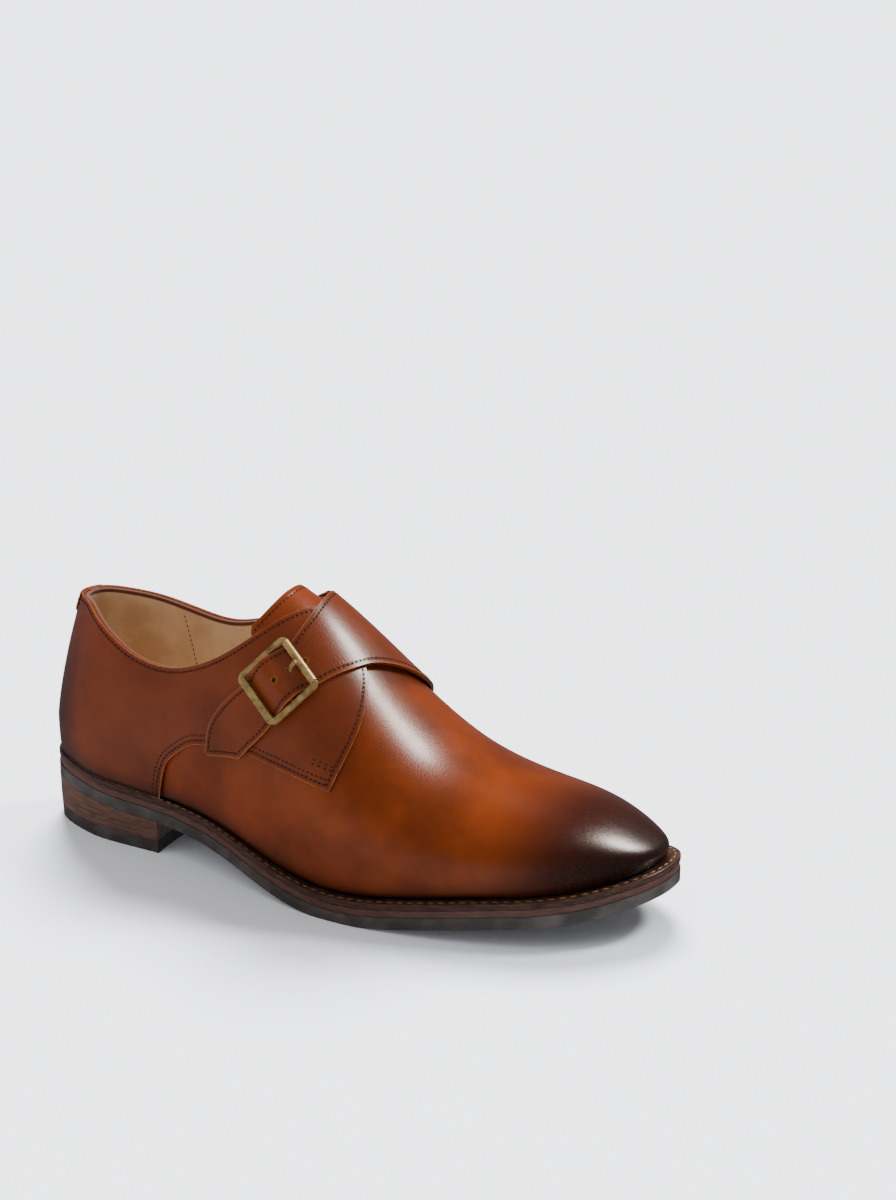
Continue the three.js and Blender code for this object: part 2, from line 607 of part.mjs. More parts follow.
// Heel pieces: the sole's outline from the back to a hollow breast, drawn in a little towards the floor.
const HEEL_STATIONS = 9;
const HEEL_ACROSS = 4;
const breastHeight = outsoleBottom(BREAST_AT);
const heelInset = z => HEEL_TAPER * (1 - clamp(z / breastHeight, 0, 1));
function heelPiece(lowAt, highAt) {
  const breastAlong = alongAt(shareAt(BREAST_AT));
  const grid = at => Array.from({ length: HEEL_STATIONS + 1 }, (_, i) => {
    const along = breastAlong * i / HEEL_STATIONS;
    const margin = weltMargin(along) - heelInset(at(0));
    const from = soleEdge(along, -1, margin);
    const to = soleEdge(along, 1, margin);
    return Array.from({ length: HEEL_ACROSS + 1 }, (_, j) => {
      const t = j / HEEL_ACROSS;
      const p = from.clone().lerp(to, t);
      p.x -= BREAST_HOLLOW * 4 * t * (1 - t) * (i / HEEL_STATIONS) ** 2;
      return new THREE.Vector3(p.x, p.y, at(p.x));
    });
  });
  return closedSheet(grid(highAt), grid(lowAt));
}
const level = z => () => z;
const LOWER_LIFT_TOP = TOP_PIECE_THICKNESS + GAP + LOWER_LIFT_THICKNESS;

// Closed geometry to a manifold solid and back, for joins and cuts.
function solidOf(geometry) {
  const bare = geometry.clone();
  bare.deleteAttribute('normal');
  bare.deleteAttribute('uv');
  const merged = mergeVertices(bare, 1e-4);
  return new wasm.Manifold(new wasm.Mesh({
    numProp: 3,
    vertProperties: new Float32Array(merged.attributes.position.array),
    triVerts: new Uint32Array(merged.index.array),
  }));
}
function geometryOf(solid) {
  const { vertProperties, triVerts } = solid.getMesh();
  const geometry = new THREE.BufferGeometry();
  geometry.setAttribute('position', new THREE.Float32BufferAttribute(vertProperties, 3));
  geometry.setIndex(Array.from(triVerts));
  return geometry;
}

// Frame of the buckle: x across the strap to the toe side, y up the strap to the instep, z outwards.
const BUCKLE_AT = { along: 0.464, girth: -0.363 };
const BUCKLE_UP = { along: 0.486, girth: -0.271 };
const BUCKLE_DOWN = { along: 0.442, girth: -0.456 };
function buckleMatrix() {
  const z = lastNormal(BUCKLE_AT.along, BUCKLE_AT.girth);
  const run = lastPoint(BUCKLE_UP.along, BUCKLE_UP.girth).sub(lastPoint(BUCKLE_DOWN.along, BUCKLE_DOWN.girth));
  const y = run.addScaledVector(z, -run.dot(z)).normalize();
  const x = y.clone().cross(z);
  const matrix = new THREE.Matrix4().makeBasis(x, y, z);
  return matrix.setPosition(skin(BUCKLE_AT.along, BUCKLE_AT.girth, BUCKLE_LIFT));
}
const onBuckle = buckleMatrix();
const halfWidth = BUCKLE_WIDTH / 2;
const halfLength = BUCKLE_LENGTH / 2;
const rollerY = halfLength - ROLLER_RADIUS;

function rod(radius, length, y) {
  const cylinder = new THREE.CylinderGeometry(radius, radius, length, 16);
  return cylinder.rotateZ(Math.PI / 2).translate(0, y, 0);
}
function roundedBlock(width, length, thickness, corner, y) {
  const shape = new THREE.Shape();
  const [w, l] = [width / 2 - corner, length / 2 - corner];
  shape.absarc(w, l, corner, 0, Math.PI / 2);
  shape.absarc(-w, l, corner, Math.PI / 2, Math.PI);
  shape.absarc(-w, -l, corner, Math.PI, Math.PI * 1.5);
  shape.absarc(w, -l, corner, Math.PI * 1.5, Math.PI * 2);
  const block = new THREE.ExtrudeGeometry(shape, { depth: thickness, bevelEnabled: false, curveSegments: 4 });
  return block.translate(0, y, -thickness / 2);
}

// Cast frame: a square ring whose instep side is a thin rod for the roller, with a rod across its middle.
function makeFrame() {
  const ring = solidOf(roundedBlock(BUCKLE_WIDTH, BUCKLE_LENGTH, FRAME_THICKNESS, BUCKLE_CORNER, 0));
  const windowLow = -halfLength + TAIL_BAR_WIDTH;
  const windowHigh = halfLength + BUCKLE_CORNER;
  const hole = roundedBlock(BUCKLE_WIDTH - 2 * ARM_WIDTH, windowHigh - windowLow, 3 * FRAME_THICKNESS, 0.8,
    (windowLow + windowHigh) / 2);
  const rodLength = BUCKLE_WIDTH - ARM_WIDTH;
  return ring.subtract(solidOf(hole))
    .add(solidOf(rod(ROD_RADIUS, rodLength, 0)))
    .add(solidOf(rod(ROD_RADIUS, rodLength, rollerY)));
}
function makeRoller() {
  const half = halfWidth - ARM_WIDTH - GAP;
  const bore = ROD_RADIUS + RUNNING_GAP;
  const profile = [[bore, -half], [ROLLER_RADIUS, -half], [ROLLER_RADIUS, half], [bore, half], [bore, -half]];
  const sleeve = new THREE.LatheGeometry(profile.map(([x, y]) => new THREE.Vector2(x, y)), 20);
  return sleeve.rotateZ(Math.PI / 2).translate(0, rollerY, 0);
}

// Prong: an eye round the centre bar, and a tongue that comes up through the strap onto the roller.
// Its line: y as shares of the roller's distance, z as shares of the prong's height over the roller.
const PRONG_LINE = table('y z', [
  [0.110, 0.000],
  [0.320, -0.240],
  [0.480, -0.240],
  [0.605, 0.140],
  [0.715, 0.620],
  [0.845, 0.965],
  [1.000, 1.000],
]);
const prongTop = ROLLER_RADIUS + PRONG_THICKNESS / 2 + 3 * RUNNING_GAP;
function prongTongue(margin) {
  const line = new THREE.CatmullRomCurve3(PRONG_LINE.map(row => new THREE.Vector3(0, row.y * rollerY, row.z * prongTop)));
  const section = new THREE.Shape();
  section.absellipse(0, 0, PRONG_THICKNESS / 2 + margin, PRONG_WIDTH / 2 + margin, 0, Math.PI * 2);
  return solidOf(new THREE.ExtrudeGeometry(section, {
    steps: 10, curveSegments: 4, bevelEnabled: false, extrudePath: line,
  }));
}
function makeProng() {
  const bore = ROD_RADIUS + RUNNING_GAP;
  const eye = [[bore, -PRONG_WIDTH / 2], [bore + 0.9, -PRONG_WIDTH / 2], [bore + 0.9, PRONG_WIDTH / 2],
    [bore, PRONG_WIDTH / 2], [bore, -PRONG_WIDTH / 2]];
  const ring = new THREE.LatheGeometry(eye.map(([x, y]) => new THREE.Vector2(x, y)), 16).rotateZ(Math.PI / 2);
  return solidOf(ring).add(prongTongue(0));
}

// Tab: a strip of leather folded round the centre bar and doubled behind it, with a slot for the eye.
function makeTab() {
  const inner = ROD_RADIUS + RUNNING_GAP;
  const outer = inner + TAB_LEATHER;
  const fold = THREE.MathUtils.degToRad(130);
  const shape = new THREE.Shape();
  shape.moveTo(-TAB_LENGTH, -outer);
  shape.absarc(0, 0, outer, -Math.PI / 2, fold);
  shape.lineTo(-3.2, 2 * TAB_LEATHER - outer);
  shape.lineTo(-TAB_LENGTH, 2 * TAB_LEATHER - outer);
  const eye = new THREE.Path();
  eye.absarc(0, 0, inner, -Math.PI / 2, fold);
  eye.lineTo(-2.4, -inner);
  shape.holes.push(eye);
  const body = new THREE.ExtrudeGeometry(shape, { depth: TAB_WIDTH, bevelEnabled: false, curveSegments: 10 });
  body.applyMatrix4(new THREE.Matrix4().makeBasis(
    new THREE.Vector3(0, 1, 0), new THREE.Vector3(0, 0, 1), new THREE.Vector3(1, 0, 0)));
  body.translate(-TAB_WIDTH / 2, 0, 0);
  const slot = new THREE.BoxGeometry(PRONG_WIDTH + 2 * GAP, 4 * outer, 4 * outer);
  slot.translate(0, outer / 2, 0);
  return solidOf(body).subtract(solidOf(slot));
}

// Strap with its holes: one free over the centre bar, one round the prong, one under the roller.
function punchedStrap() {
  let strap = solidOf(meshOf('strap', panel(STRAP_ROWS, 1, QUARTER_LEATHER, 2, STRAP_ACROSS)).geometry);
  for (const step of [0, 2]) {
    const punch = new THREE.CylinderGeometry(HOLE_RADIUS, HOLE_RADIUS, PUNCH_LENGTH, 12).rotateX(Math.PI / 2);
    punch.translate(0, step * HOLE_PITCH, (step ? -1 : 1) * PUNCH_LENGTH / 3).applyMatrix4(onBuckle);
    strap = strap.subtract(solidOf(punch));
  }
  return strap.subtract(prongTongue(GAP).transform(onBuckle.elements));
}

const shoe = new THREE.Group();
const add = (name, triangles, material) => shoe.add(meshOf(name, triangles, material));
add('upper', makeUpper(), cognac);
add('lateral_quarter', panel(LATERAL_ROWS, -1, QUARTER_LEATHER, 2, 10), quarterLeather);
add('tongue', makeTongue(), cognac);
for (const [name, solid, material] of [
  ['medial_quarter_strap', punchedStrap(), quarterLeather],
  ['buckle_frame', makeFrame().transform(onBuckle.elements), brass],
  ['buckle_roller', solidOf(makeRoller()).transform(onBuckle.elements), brass],
  ['buckle_prong', makeProng().transform(onBuckle.elements), brass],
  ['buckle_tab', makeTab().transform(onBuckle.elements), quarterLeather],
]) {
  const mesh = new THREE.Mesh(geometryOf(solid), material);
  mesh.name = name;
  shoe.add(mesh);
}
add('back_strip', makeBackStrip(), quarterLeather);
add('welt', makeWelt(), weltLeather);
add('midsole', midsole(), weltLeather);
add('insole', makeInsole(), liningLeather);
add('outsole', outsole(), darkRubber);
add('heel_lift_upper', heelPiece(level(LOWER_LIFT_TOP + GAP), x => outsoleBottom(x) - GAP), weltLeather);
add('heel_lift_lower', heelPiece(level(TOP_PIECE_THICKNESS + GAP), level(LOWER_LIFT_TOP)), weltLeather);
add('heel_top_piece', heelPiece(level(0), level(TOP_PIECE_THICKNESS)), darkRubber);

export default shoe;
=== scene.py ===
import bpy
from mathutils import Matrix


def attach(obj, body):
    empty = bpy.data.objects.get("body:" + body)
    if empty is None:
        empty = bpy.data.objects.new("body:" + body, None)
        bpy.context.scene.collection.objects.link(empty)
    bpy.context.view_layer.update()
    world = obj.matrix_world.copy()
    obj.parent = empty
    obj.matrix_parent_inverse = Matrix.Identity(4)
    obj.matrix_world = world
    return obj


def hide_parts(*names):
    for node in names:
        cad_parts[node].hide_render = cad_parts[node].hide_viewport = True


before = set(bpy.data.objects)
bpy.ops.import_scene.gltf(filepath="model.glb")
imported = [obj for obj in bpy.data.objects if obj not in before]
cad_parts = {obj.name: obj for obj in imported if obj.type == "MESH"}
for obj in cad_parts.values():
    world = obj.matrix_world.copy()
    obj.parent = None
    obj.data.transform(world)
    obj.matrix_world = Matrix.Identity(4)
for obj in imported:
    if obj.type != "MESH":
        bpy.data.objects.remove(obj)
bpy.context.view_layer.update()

import math
import bpy
import bmesh
import numpy as np
from mathutils import Matrix, Vector
from mathutils.kdtree import KDTree

# ---- Camera and studio ----
# The photograph's own viewpoint, a long lens looking down on the lateral side, and a pale paper floor
# under four soft lights, of which the polish mirrors only one.
VIEW_AZIMUTH, VIEW_ELEVATION, VIEW_ROLL = 27.266, 16.912, 0.513
FOCAL_PX, VIEW_DISTANCE = 2367.13, 1.064963
AIM, AIM_PX = Vector((0.108179, 0, 0)), (336.944, 859.602)
PICTURE_WIDTH, PICTURE_HEIGHT, SENSOR = 896, 1200, 36.0

scene = bpy.context.scene
az, el, roll = (math.radians(v) for v in (VIEW_AZIMUTH, VIEW_ELEVATION, VIEW_ROLL))
back = Vector((math.sin(az) * math.cos(el), -math.cos(az) * math.cos(el), math.sin(el)))
level_right = Vector((math.cos(az), math.sin(az), 0))
level_up = back.cross(level_right)
right = level_right * math.cos(roll) + level_up * math.sin(roll)
up = level_up * math.cos(roll) - level_right * math.sin(roll)
aside = (AIM_PX[0] - PICTURE_WIDTH / 2) / FOCAL_PX * VIEW_DISTANCE
above = -(AIM_PX[1] - PICTURE_HEIGHT / 2) / FOCAL_PX * VIEW_DISTANCE
lens = bpy.data.cameras.new("camera")
lens.sensor_fit = 'HORIZONTAL'
lens.sensor_width = SENSOR
lens.lens = FOCAL_PX / PICTURE_WIDTH * SENSOR
camera = bpy.data.objects.new("camera", lens)
spot = AIM + back * VIEW_DISTANCE - right * aside - up * above
camera.matrix_world = Matrix.Translation(spot) @ Matrix((right, up, back)).transposed().to_4x4()
scene.collection.objects.link(camera)
scene.camera = camera


def linear(code):
    """sRGB hex to linear RGBA."""
    parts = [int(code[i:i + 2], 16) / 255 for i in (1, 3, 5)]
    return [v / 12.92 if v <= 0.04045 else ((v + 0.055) / 1.055) ** 2.4 for v in parts] + [1.0]


def fill(tree, node, values):
    """Links each named input to a socket, or gives it a plain value."""
    for name, value in values.items():
        if isinstance(value, bpy.types.NodeSocket):
            tree.links.new(value, node.inputs[name])
        else:
            node.inputs[name].default_value = value


def add_node(tree, kind, settings=None, links=None, label=""):
    """One node with its settings and its inputs."""
    node = tree.nodes.new(kind)
    node.label = label
    for name, value in (settings or {}).items():
        setattr(node, name, value)
    fill(tree, node, links or {})
    return node


def new_material(name):
    """An empty node material, as (material, tree, Principled surface, object coordinates)."""
    material = bpy.data.materials.new(name)
    material.use_nodes = True
    tree = material.node_tree
    tree.nodes.clear()
    surface = add_node(tree, "ShaderNodeBsdfPrincipled")
    add_node(tree, "ShaderNodeOutputMaterial", links={"Surface": surface.outputs[0]})
    return material, tree, surface, add_node(tree, "ShaderNodeTexCoord").outputs["Object"]


# Seamless studio paper: matt white, lifted a little by its own glow so that it stays even.
paper, tree, surface, _ = new_material("studio_paper")
fill(tree, surface, {"Base Color": linear("#f1f3f9"), "Roughness": 0.95, "Specular IOR Level": 0.1,
                     "Emission Color": linear("#f1f3f9"), "Emission Strength": 0.04})
FLOOR_HALF = 60.0
floor_mesh = bpy.data.meshes.new("floor")
floor_corners = [(x * FLOOR_HALF, y * FLOOR_HALF, 0) for x, y in ((-1, -1), (1, -1), (1, 1), (-1, 1))]
floor_mesh.from_pydata(floor_corners, [], [(0, 1, 2, 3)])
floor_mesh.materials.append(paper)
floor = bpy.data.objects.new("floor", floor_mesh)
scene.collection.objects.link(floor)
floor.visible_glossy = False   # the polished leather mirrors the dim room, not the paper

world = bpy.data.worlds.new("studio")
world.use_nodes = True
world.node_tree.nodes["Background"].inputs["Color"].default_value = linear("#eef1f6")
world.node_tree.nodes["Background"].inputs["Strength"].default_value = 0.17
scene.world = world

LIGHTS = [  # direction to the light, softness in degrees, strength, whether polish mirrors it
    ("softbox_core", (0.44, 0.47, 0.765), 14, 3.0, True),
    ("softbox_spill", (-0.30, 0.60, 0.77), 26, 10.4, False),
    ("overhead", (0.15, 0.0, 1.0), 60, 0.9, False),
    ("fill_front", (-0.35, -0.75, 0.65), 70, 1.2, False),
]
for name, towards, softness, strength, mirrored in LIGHTS:
    lamp = bpy.data.lights.new(name, 'SUN')
    lamp.angle = math.radians(softness)
    lamp.energy = strength
    light = bpy.data.objects.new(name, lamp)
    light.matrix_world = Vector(towards).to_track_quat('Z', 'Y').to_matrix().to_4x4()
    light.visible_glossy = mirrored
    scene.collection.objects.link(light)

# ---- Vamp ----
# The whole front of the shoe, one piece of cognac calf drawn over the last and lasted under to the
# welt. It is polished, and burnished nearly black at the toe.
MM = 0.001
LAST_LENGTH, HEEL_CENTRE, BALL_WIDTH, INSTEP_HEIGHT = 297, 35.4, 94.4, 104.2
SEAT_RISE, TOE_SPRING = 18.3, 16.8
WELT_THICKNESS, MIDSOLE_THICKNESS, OUTSOLE_THICKNESS, PIECE_GAP = 3.0, 2.6, 4.8, 0.3
SOLE_THICKNESS = WELT_THICKNESS + MIDSOLE_THICKNESS + OUTSOLE_THICKNESS + 2 * PIECE_GAP
UPPER_WALL = 1.8
SECTION_NAMES = "at axis lateral medial seat toe spine swellL swellM widest crown side margin".split()
SECTION_ROWS = np.array([
    [0.000, 0.000, 0.250, 0.250, 1.180, 0.000, 0.994, 0.03, 0.03, 0.16, 1.46, 1.25, 3.2],
    [0.070, 0.000, 0.271, 0.276, 1.090, 0.000, 1.042, 0.05, 0.05, 0.16, 1.75, 1.35, 2.4],
    [0.120, 0.000, 0.302, 0.302, 1.000, 0.000, 1.100, 0.07, 0.07, 0.19, 2.15, 1.45, 2.0],
    [0.235, 0.000, 0.333, 0.328, 0.863, 0.000, 1.105, 0.05, 0.06, 0.20, 2.18, 1.58, 1.8],
    [0.350, -0.018, 0.380, 0.318, 0.645, 0.000, 1.090, 0.05, 0.07, 0.23, 2.17, 1.66, 2.6],
    [0.467, -0.042, 0.464, 0.359, 0.235, 0.000, 1.030, 0.05, 0.09, 0.27, 2.14, 1.79, 4.0],
    [0.583, -0.048, 0.518, 0.443, 0.000, 0.000, 0.801, 0.05, 0.10, 0.30, 2.14, 1.89, 5.2],
    [0.682, -0.033, 0.521, 0.479, 0.000, 0.149, 0.535, 0.04, 0.10, 0.31, 2.16, 1.95, 5.3],
    [0.765, -0.014, 0.500, 0.464, 0.000, 0.369, 0.389, 0.03, 0.09, 0.33, 2.20, 2.03, 5.4],
    [0.848, 0.020, 0.458, 0.401, 0.000, 0.542, 0.313, 0.03, 0.07, 0.34, 2.25, 2.12, 5.6],
    [0.930, 0.057, 0.396, 0.318, 0.000, 0.714, 0.248, 0.04, 0.03, 0.35, 2.30, 2.20, 6.0],
    [1.000, 0.091, 0.344, 0.240, 0.000, 1.000, 0.134, 0.03, 0.03, 0.33, 2.30, 2.20, 6.4],
])
TOE_ROUND, HEEL_ROUND = (0.831, 2.35), (0.1325, 2.1)
TOE_FAN, HEEL_FAN = 0.715, 0.202


def smooth_curve(xs, ys):
    """Natural cubic spline through (xs, ys), carried on past both ends."""
    xs, ys = np.asarray(xs, float), np.asarray(ys, float)
    n = len(xs)
    step = np.diff(xs)
    matrix, side = np.eye(n), np.zeros(n)
    for i in range(1, n - 1):
        matrix[i, i - 1:i + 2] = step[i - 1], 2 * (step[i - 1] + step[i]), step[i]
        side[i] = 6 * ((ys[i + 1] - ys[i]) / step[i] - (ys[i] - ys[i - 1]) / step[i - 1])
    bend = np.linalg.solve(matrix, side)

    def at(x):
        x = np.asarray(x, float)
        k = np.clip(np.searchsorted(xs, x) - 1, 0, n - 2)
        h = xs[k + 1] - xs[k]
        a = (xs[k + 1] - x) / h
        b = 1 - a
        return a * ys[k] + b * ys[k + 1] + ((a ** 3 - a) * bend[k] + (b ** 3 - b) * bend[k + 1]) * h * h / 6
    return at


last = {name: smooth_curve(SECTION_ROWS[:, 0], SECTION_ROWS[:, i]) for i, name in enumerate(SECTION_NAMES)}
seat_heights = SOLE_THICKNESS + SECTION_ROWS[:, 4] * SEAT_RISE + SECTION_ROWS[:, 5] * TOE_SPRING
feather_height = smooth_curve(SECTION_ROWS[:, 0], seat_heights)
spine_height = smooth_curve(SECTION_ROWS[:, 0], seat_heights + SECTION_ROWS[:, 6] * INSTEP_HEIGHT)


def share_at(x):
    return (x + HEEL_CENTRE) / LAST_LENGTH


def feather(share, side):
    """The last's lower outline in plan, on side -1 lateral or +1 medial."""
    share = np.asarray(share, float)
    toe = np.clip((share - TOE_ROUND[0]) / (1 - TOE_ROUND[0]), 0, 1)
    heel = np.clip((HEEL_ROUND[0] - share) / HEEL_ROUND[0], 0, 1)
    rounding = ((1 - toe ** TOE_ROUND[1]) ** (1 / TOE_ROUND[1])
                * (1 - heel ** HEEL_ROUND[1]) ** (1 / HEEL_ROUND[1]))
    half = last["lateral" if side < 0 else "medial"](share) * rounding
    return np.stack([share * LAST_LENGTH - HEEL_CENTRE, (last["axis"](share) + side * half) * BALL_WIDTH], -1)


arc_shares = 0.5 - 0.5 * np.cos(np.linspace(0, np.pi, 2001))
mean_arc = np.zeros(2001)
for side in (-1, 1):
    run = np.linalg.norm(np.diff(feather(arc_shares, side), axis=0), axis=1)
    mean_arc[1:] += np.cumsum(run) / run.sum() / 2


def station_at(along):
    return np.interp(along, mean_arc, arc_shares)


# The last as a lattice: stations from heel to toe, and girth from -1 at the lateral feather edge over
# the spine at 0 to +1 at the medial one.
LATTICE_ALONG, LATTICE_GIRTH, RIB_POINTS = 901, 201, 640


def run_length(points):
    """Length along a line of points, at each point."""
    return np.r_[0, np.cumsum(np.linalg.norm(np.diff(points, axis=0), axis=1))]


def read_off(points, length, wanted):
    """The columns of points at the wanted lengths along the line."""
    return np.stack([np.interp(wanted, length, column) for column in points.T], -1)


def rib(along, side):
    """Points of the last from one feather edge up to the spine, at even spacing."""
    share = float(station_at(along))
    fx, fy = feather(share, side)
    fan = min(max((share - TOE_FAN) / (1 - TOE_FAN), 0), 1)
    centre = TOE_FAN + (1 - TOE_FAN) * (fan - fan * fan / 2) if share > TOE_FAN else share
    if share < HEEL_FAN:
        fan = (HEEL_FAN - share) / HEEL_FAN
        centre = HEEL_FAN - HEEL_FAN * (fan - fan * fan / 2)
    cx, cy = centre * LAST_LENGTH - HEEL_CENTRE, last["axis"](centre) * BALL_WIDTH
    swell = last["swellL" if side < 0 else "swellM"](share)
    widest = last["widest"](share)
    low_count = RIB_POINTS // 4
    low = np.pi / 3 * (1 - np.arange(low_count) / low_count)
    high = np.pi / 2 * np.linspace(0, 1, RIB_POINTS - low_count)
    reach = np.r_[1 + swell * (2 * np.cos(low) - 1),
                  (1 + swell) * np.maximum(np.cos(high), 0) ** (2 / last["crown"](share))]
    rise = np.r_[widest * (1 - np.sin(low) / np.sin(np.pi / 3)),
                 widest + (1 - widest) * np.sin(high) ** (2 / last["side"](share))]
    x, y = cx + reach * (fx - cx), cy + reach * (fy - cy)
    base = feather_height(share_at(x))
    points = np.stack([x, y, PIECE_GAP + base + (spine_height(share_at(x)) - base) * rise], -1)
    length = run_length(points)
    return read_off(points, length, np.linspace(0, length[-1], LATTICE_GIRTH))


lattice = np.zeros((LATTICE_ALONG, 2 * LATTICE_GIRTH - 1, 3))
for i, along in enumerate(np.linspace(0, 1, LATTICE_ALONG)):
    lattice[i, :LATTICE_GIRTH] = rib(along, -1)
    lattice[i, LATTICE_GIRTH - 1:] = rib(along, 1)[::-1]


def last_point(along, girth):
    """Points of the last in mm, read off the lattice. Past the heel or the toe the girth turns over."""
    along, girth = np.broadcast_arrays(np.asarray(along, float), np.asarray(girth, float))
    turned = (along < 0) | (along > 1)
    girth = np.where(turned, -girth, girth)
    along = np.where(along < 0, -along, np.where(along > 1, 2 - along, along))
    u = np.clip(along, 0, 1) * (LATTICE_ALONG - 1)
    v = (np.clip(girth, -1, 1) + 1) * (LATTICE_GIRTH - 1)
    i = np.clip(u.astype(int), 0, LATTICE_ALONG - 2)
    j = np.clip(v.astype(int), 0, 2 * LATTICE_GIRTH - 3)
    p, q = (u - i)[..., None], (v - j)[..., None]
    low = lattice[i, j] * (1 - q) + lattice[i, j + 1] * q
    high = lattice[i + 1, j] * (1 - q) + lattice[i + 1, j + 1] * q
    return low * (1 - p) + high * p


NORMAL_STEP, LEVEL_BAND = 0.012, 0.08


def last_normal(along, girth):
    """Outward normals, laid level near the feather edge so that layers stop on the welt's plane."""
    along, girth = np.broadcast_arrays(np.asarray(along, float), np.asarray(girth, float))
    forward = last_point(along + NORMAL_STEP, girth) - last_point(along - NORMAL_STEP, girth)
    across = (last_point(along, np.clip(girth + NORMAL_STEP, -1, 1))
              - last_point(along, np.clip(girth - NORMAL_STEP, -1, 1)))
    normal = np.cross(forward, across)
    normal /= np.linalg.norm(normal, axis=-1, keepdims=True)
    normal[..., 2] *= np.minimum(1, (1 - np.abs(girth)) / LEVEL_BAND)
    return normal / np.linalg.norm(normal, axis=-1, keepdims=True)


def skin(along, girth, lift):
    """Points a lift in mm off the last."""
    return last_point(along, girth) + last_normal(along, girth) * np.asarray(lift, float)[..., None]


def sheet_mesh(name, outer, inner, ring=False, caps=(True, True), rim_rows=None):
    """Closed shell between two grids of points in mm, rows by columns. outer is the side that faces out.
    ring joins the last row to the first, caps closes the first and last rows, and rim_rows is how many
    rows have a wall along the last column."""
    rows, columns = outer.shape[:2]
    points = np.concatenate([outer.reshape(-1, 3), inner.reshape(-1, 3)]) * MM
    count = rows if ring else rows - 1
    faces = []

    def wall(*corners):
        """Quads through corners given as (row, column, face), with arrays for what runs along the wall."""
        faces.append(np.stack([(i % rows) * columns + j + layer * rows * columns for i, j, layer in corners], 1))

    i, j = (v.ravel() for v in np.meshgrid(np.arange(count), np.arange(columns - 1), indexing="ij"))
    wall((i, j, 0), (i + 1, j, 0), (i + 1, j + 1, 0), (i, j + 1, 0))
    wall((i, j, 1), (i, j + 1, 1), (i + 1, j + 1, 1), (i + 1, j, 1))
    i = np.arange(count)
    wall((i, 0, 0), (i, 0, 1), (i + 1, 0, 1), (i + 1, 0, 0))
    i, top = np.arange(count if rim_rows is None else rim_rows), columns - 1
    wall((i, top, 0), (i + 1, top, 0), (i + 1, top, 1), (i, top, 1))
    j, end = np.arange(columns - 1), rows - 1
    if caps[0] and not ring:
        wall((0, j, 0), (0, j + 1, 0), (0, j + 1, 1), (0, j, 1))
    if caps[1] and not ring:
        wall((end, j, 0), (end, j, 1), (end, j + 1, 1), (end, j + 1, 0))
    mesh = bpy.data.meshes.new(name)
    mesh.from_pydata(points.tolist(), [], np.concatenate(faces).tolist())
    return mesh


def finish_piece(name, meshes, material, slot, node, weld=2e-6, bevel=0.0, segments=3, flat_angle=None):
    """Joins and welds the meshes, shades them smooth, rounds sharp edges and hands the piece to the frame."""
    work = bmesh.new()
    for mesh in meshes:
        work.from_mesh(mesh)
    bmesh.ops.remove_doubles(work, verts=work.verts, dist=weld)
    bmesh.ops.dissolve_degenerate(work, dist=weld, edges=work.edges)
    mesh = meshes[0]
    work.to_mesh(mesh)
    work.free()
    mesh.name = name
    piece = bpy.data.objects.new(name, mesh)
    scene.collection.objects.link(piece)
    mesh.materials.clear()
    mesh.materials.append(material)
    mesh.shade_smooth()
    if flat_angle:
        mesh.set_sharp_from_angle(angle=math.radians(flat_angle))
    if bevel:
        rounding = piece.modifiers.new("rounded_edges", 'BEVEL')
        rounding.width = bevel * MM
        rounding.segments = segments
        rounding.limit_method = 'ANGLE'
        rounding.angle_limit = math.radians(50)
        rounding.harden_normals = True
    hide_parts(node)
    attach(piece, "root")


def ramp(tree, value, low, high, label=""):
    """0 below low, 1 above high, eased between. low may be above high."""
    return add_node(tree, "ShaderNodeMapRange", {"interpolation_type": 'SMOOTHSTEP', "clamp": True},
                    {"Value": value, "From Min": low, "From Max": high}, label).outputs["Result"]


def spread(tree, value, low, high):
    """A value from 0 to 1, laid out between low and high."""
    return add_node(tree, "ShaderNodeMapRange", links={"Value": value, "To Min": low, "To Max": high}).outputs[0]


def mix(tree, factor, first, second, label=""):
    return add_node(tree, "ShaderNodeMix", {"data_type": 'RGBA'}, {0: factor, 6: first, 7: second},
                    label).outputs[2]


def combine(tree, operation, first, second=0.0):
    return add_node(tree, "ShaderNodeMath", {"operation": operation}, {0: first, 1: second}).outputs[0]


def scaled(tree, value, share):
    return combine(tree, 'MULTIPLY', value, share)


def noise(tree, place, scale, detail, roughness=0.5, label=""):
    return add_node(tree, "ShaderNodeTexNoise", links={"Vector": place, "Scale": scale, "Detail": detail,
                                                       "Roughness": roughness}, label=label).outputs[0]


def stored(tree, name):
    """A number that the piece's mesh keeps for each of its points."""
    return add_node(tree, "ShaderNodeAttribute", {"attribute_name": name}).outputs["Fac"]


def bumped(tree, height, strength, depth, under=None, sunk=False):
    """Normals of a relief with a depth in mm, laid over another one."""
    links = {"Height": height, "Strength": strength, "Distance": depth * MM}
    if under:
        links["Normal"] = under
    return add_node(tree, "ShaderNodeBump", {"invert": sunk}, links).outputs[0]


STITCH_INSET = 2.1
BURNISH_CENTRE = (0.262, -0.006, 0.018)


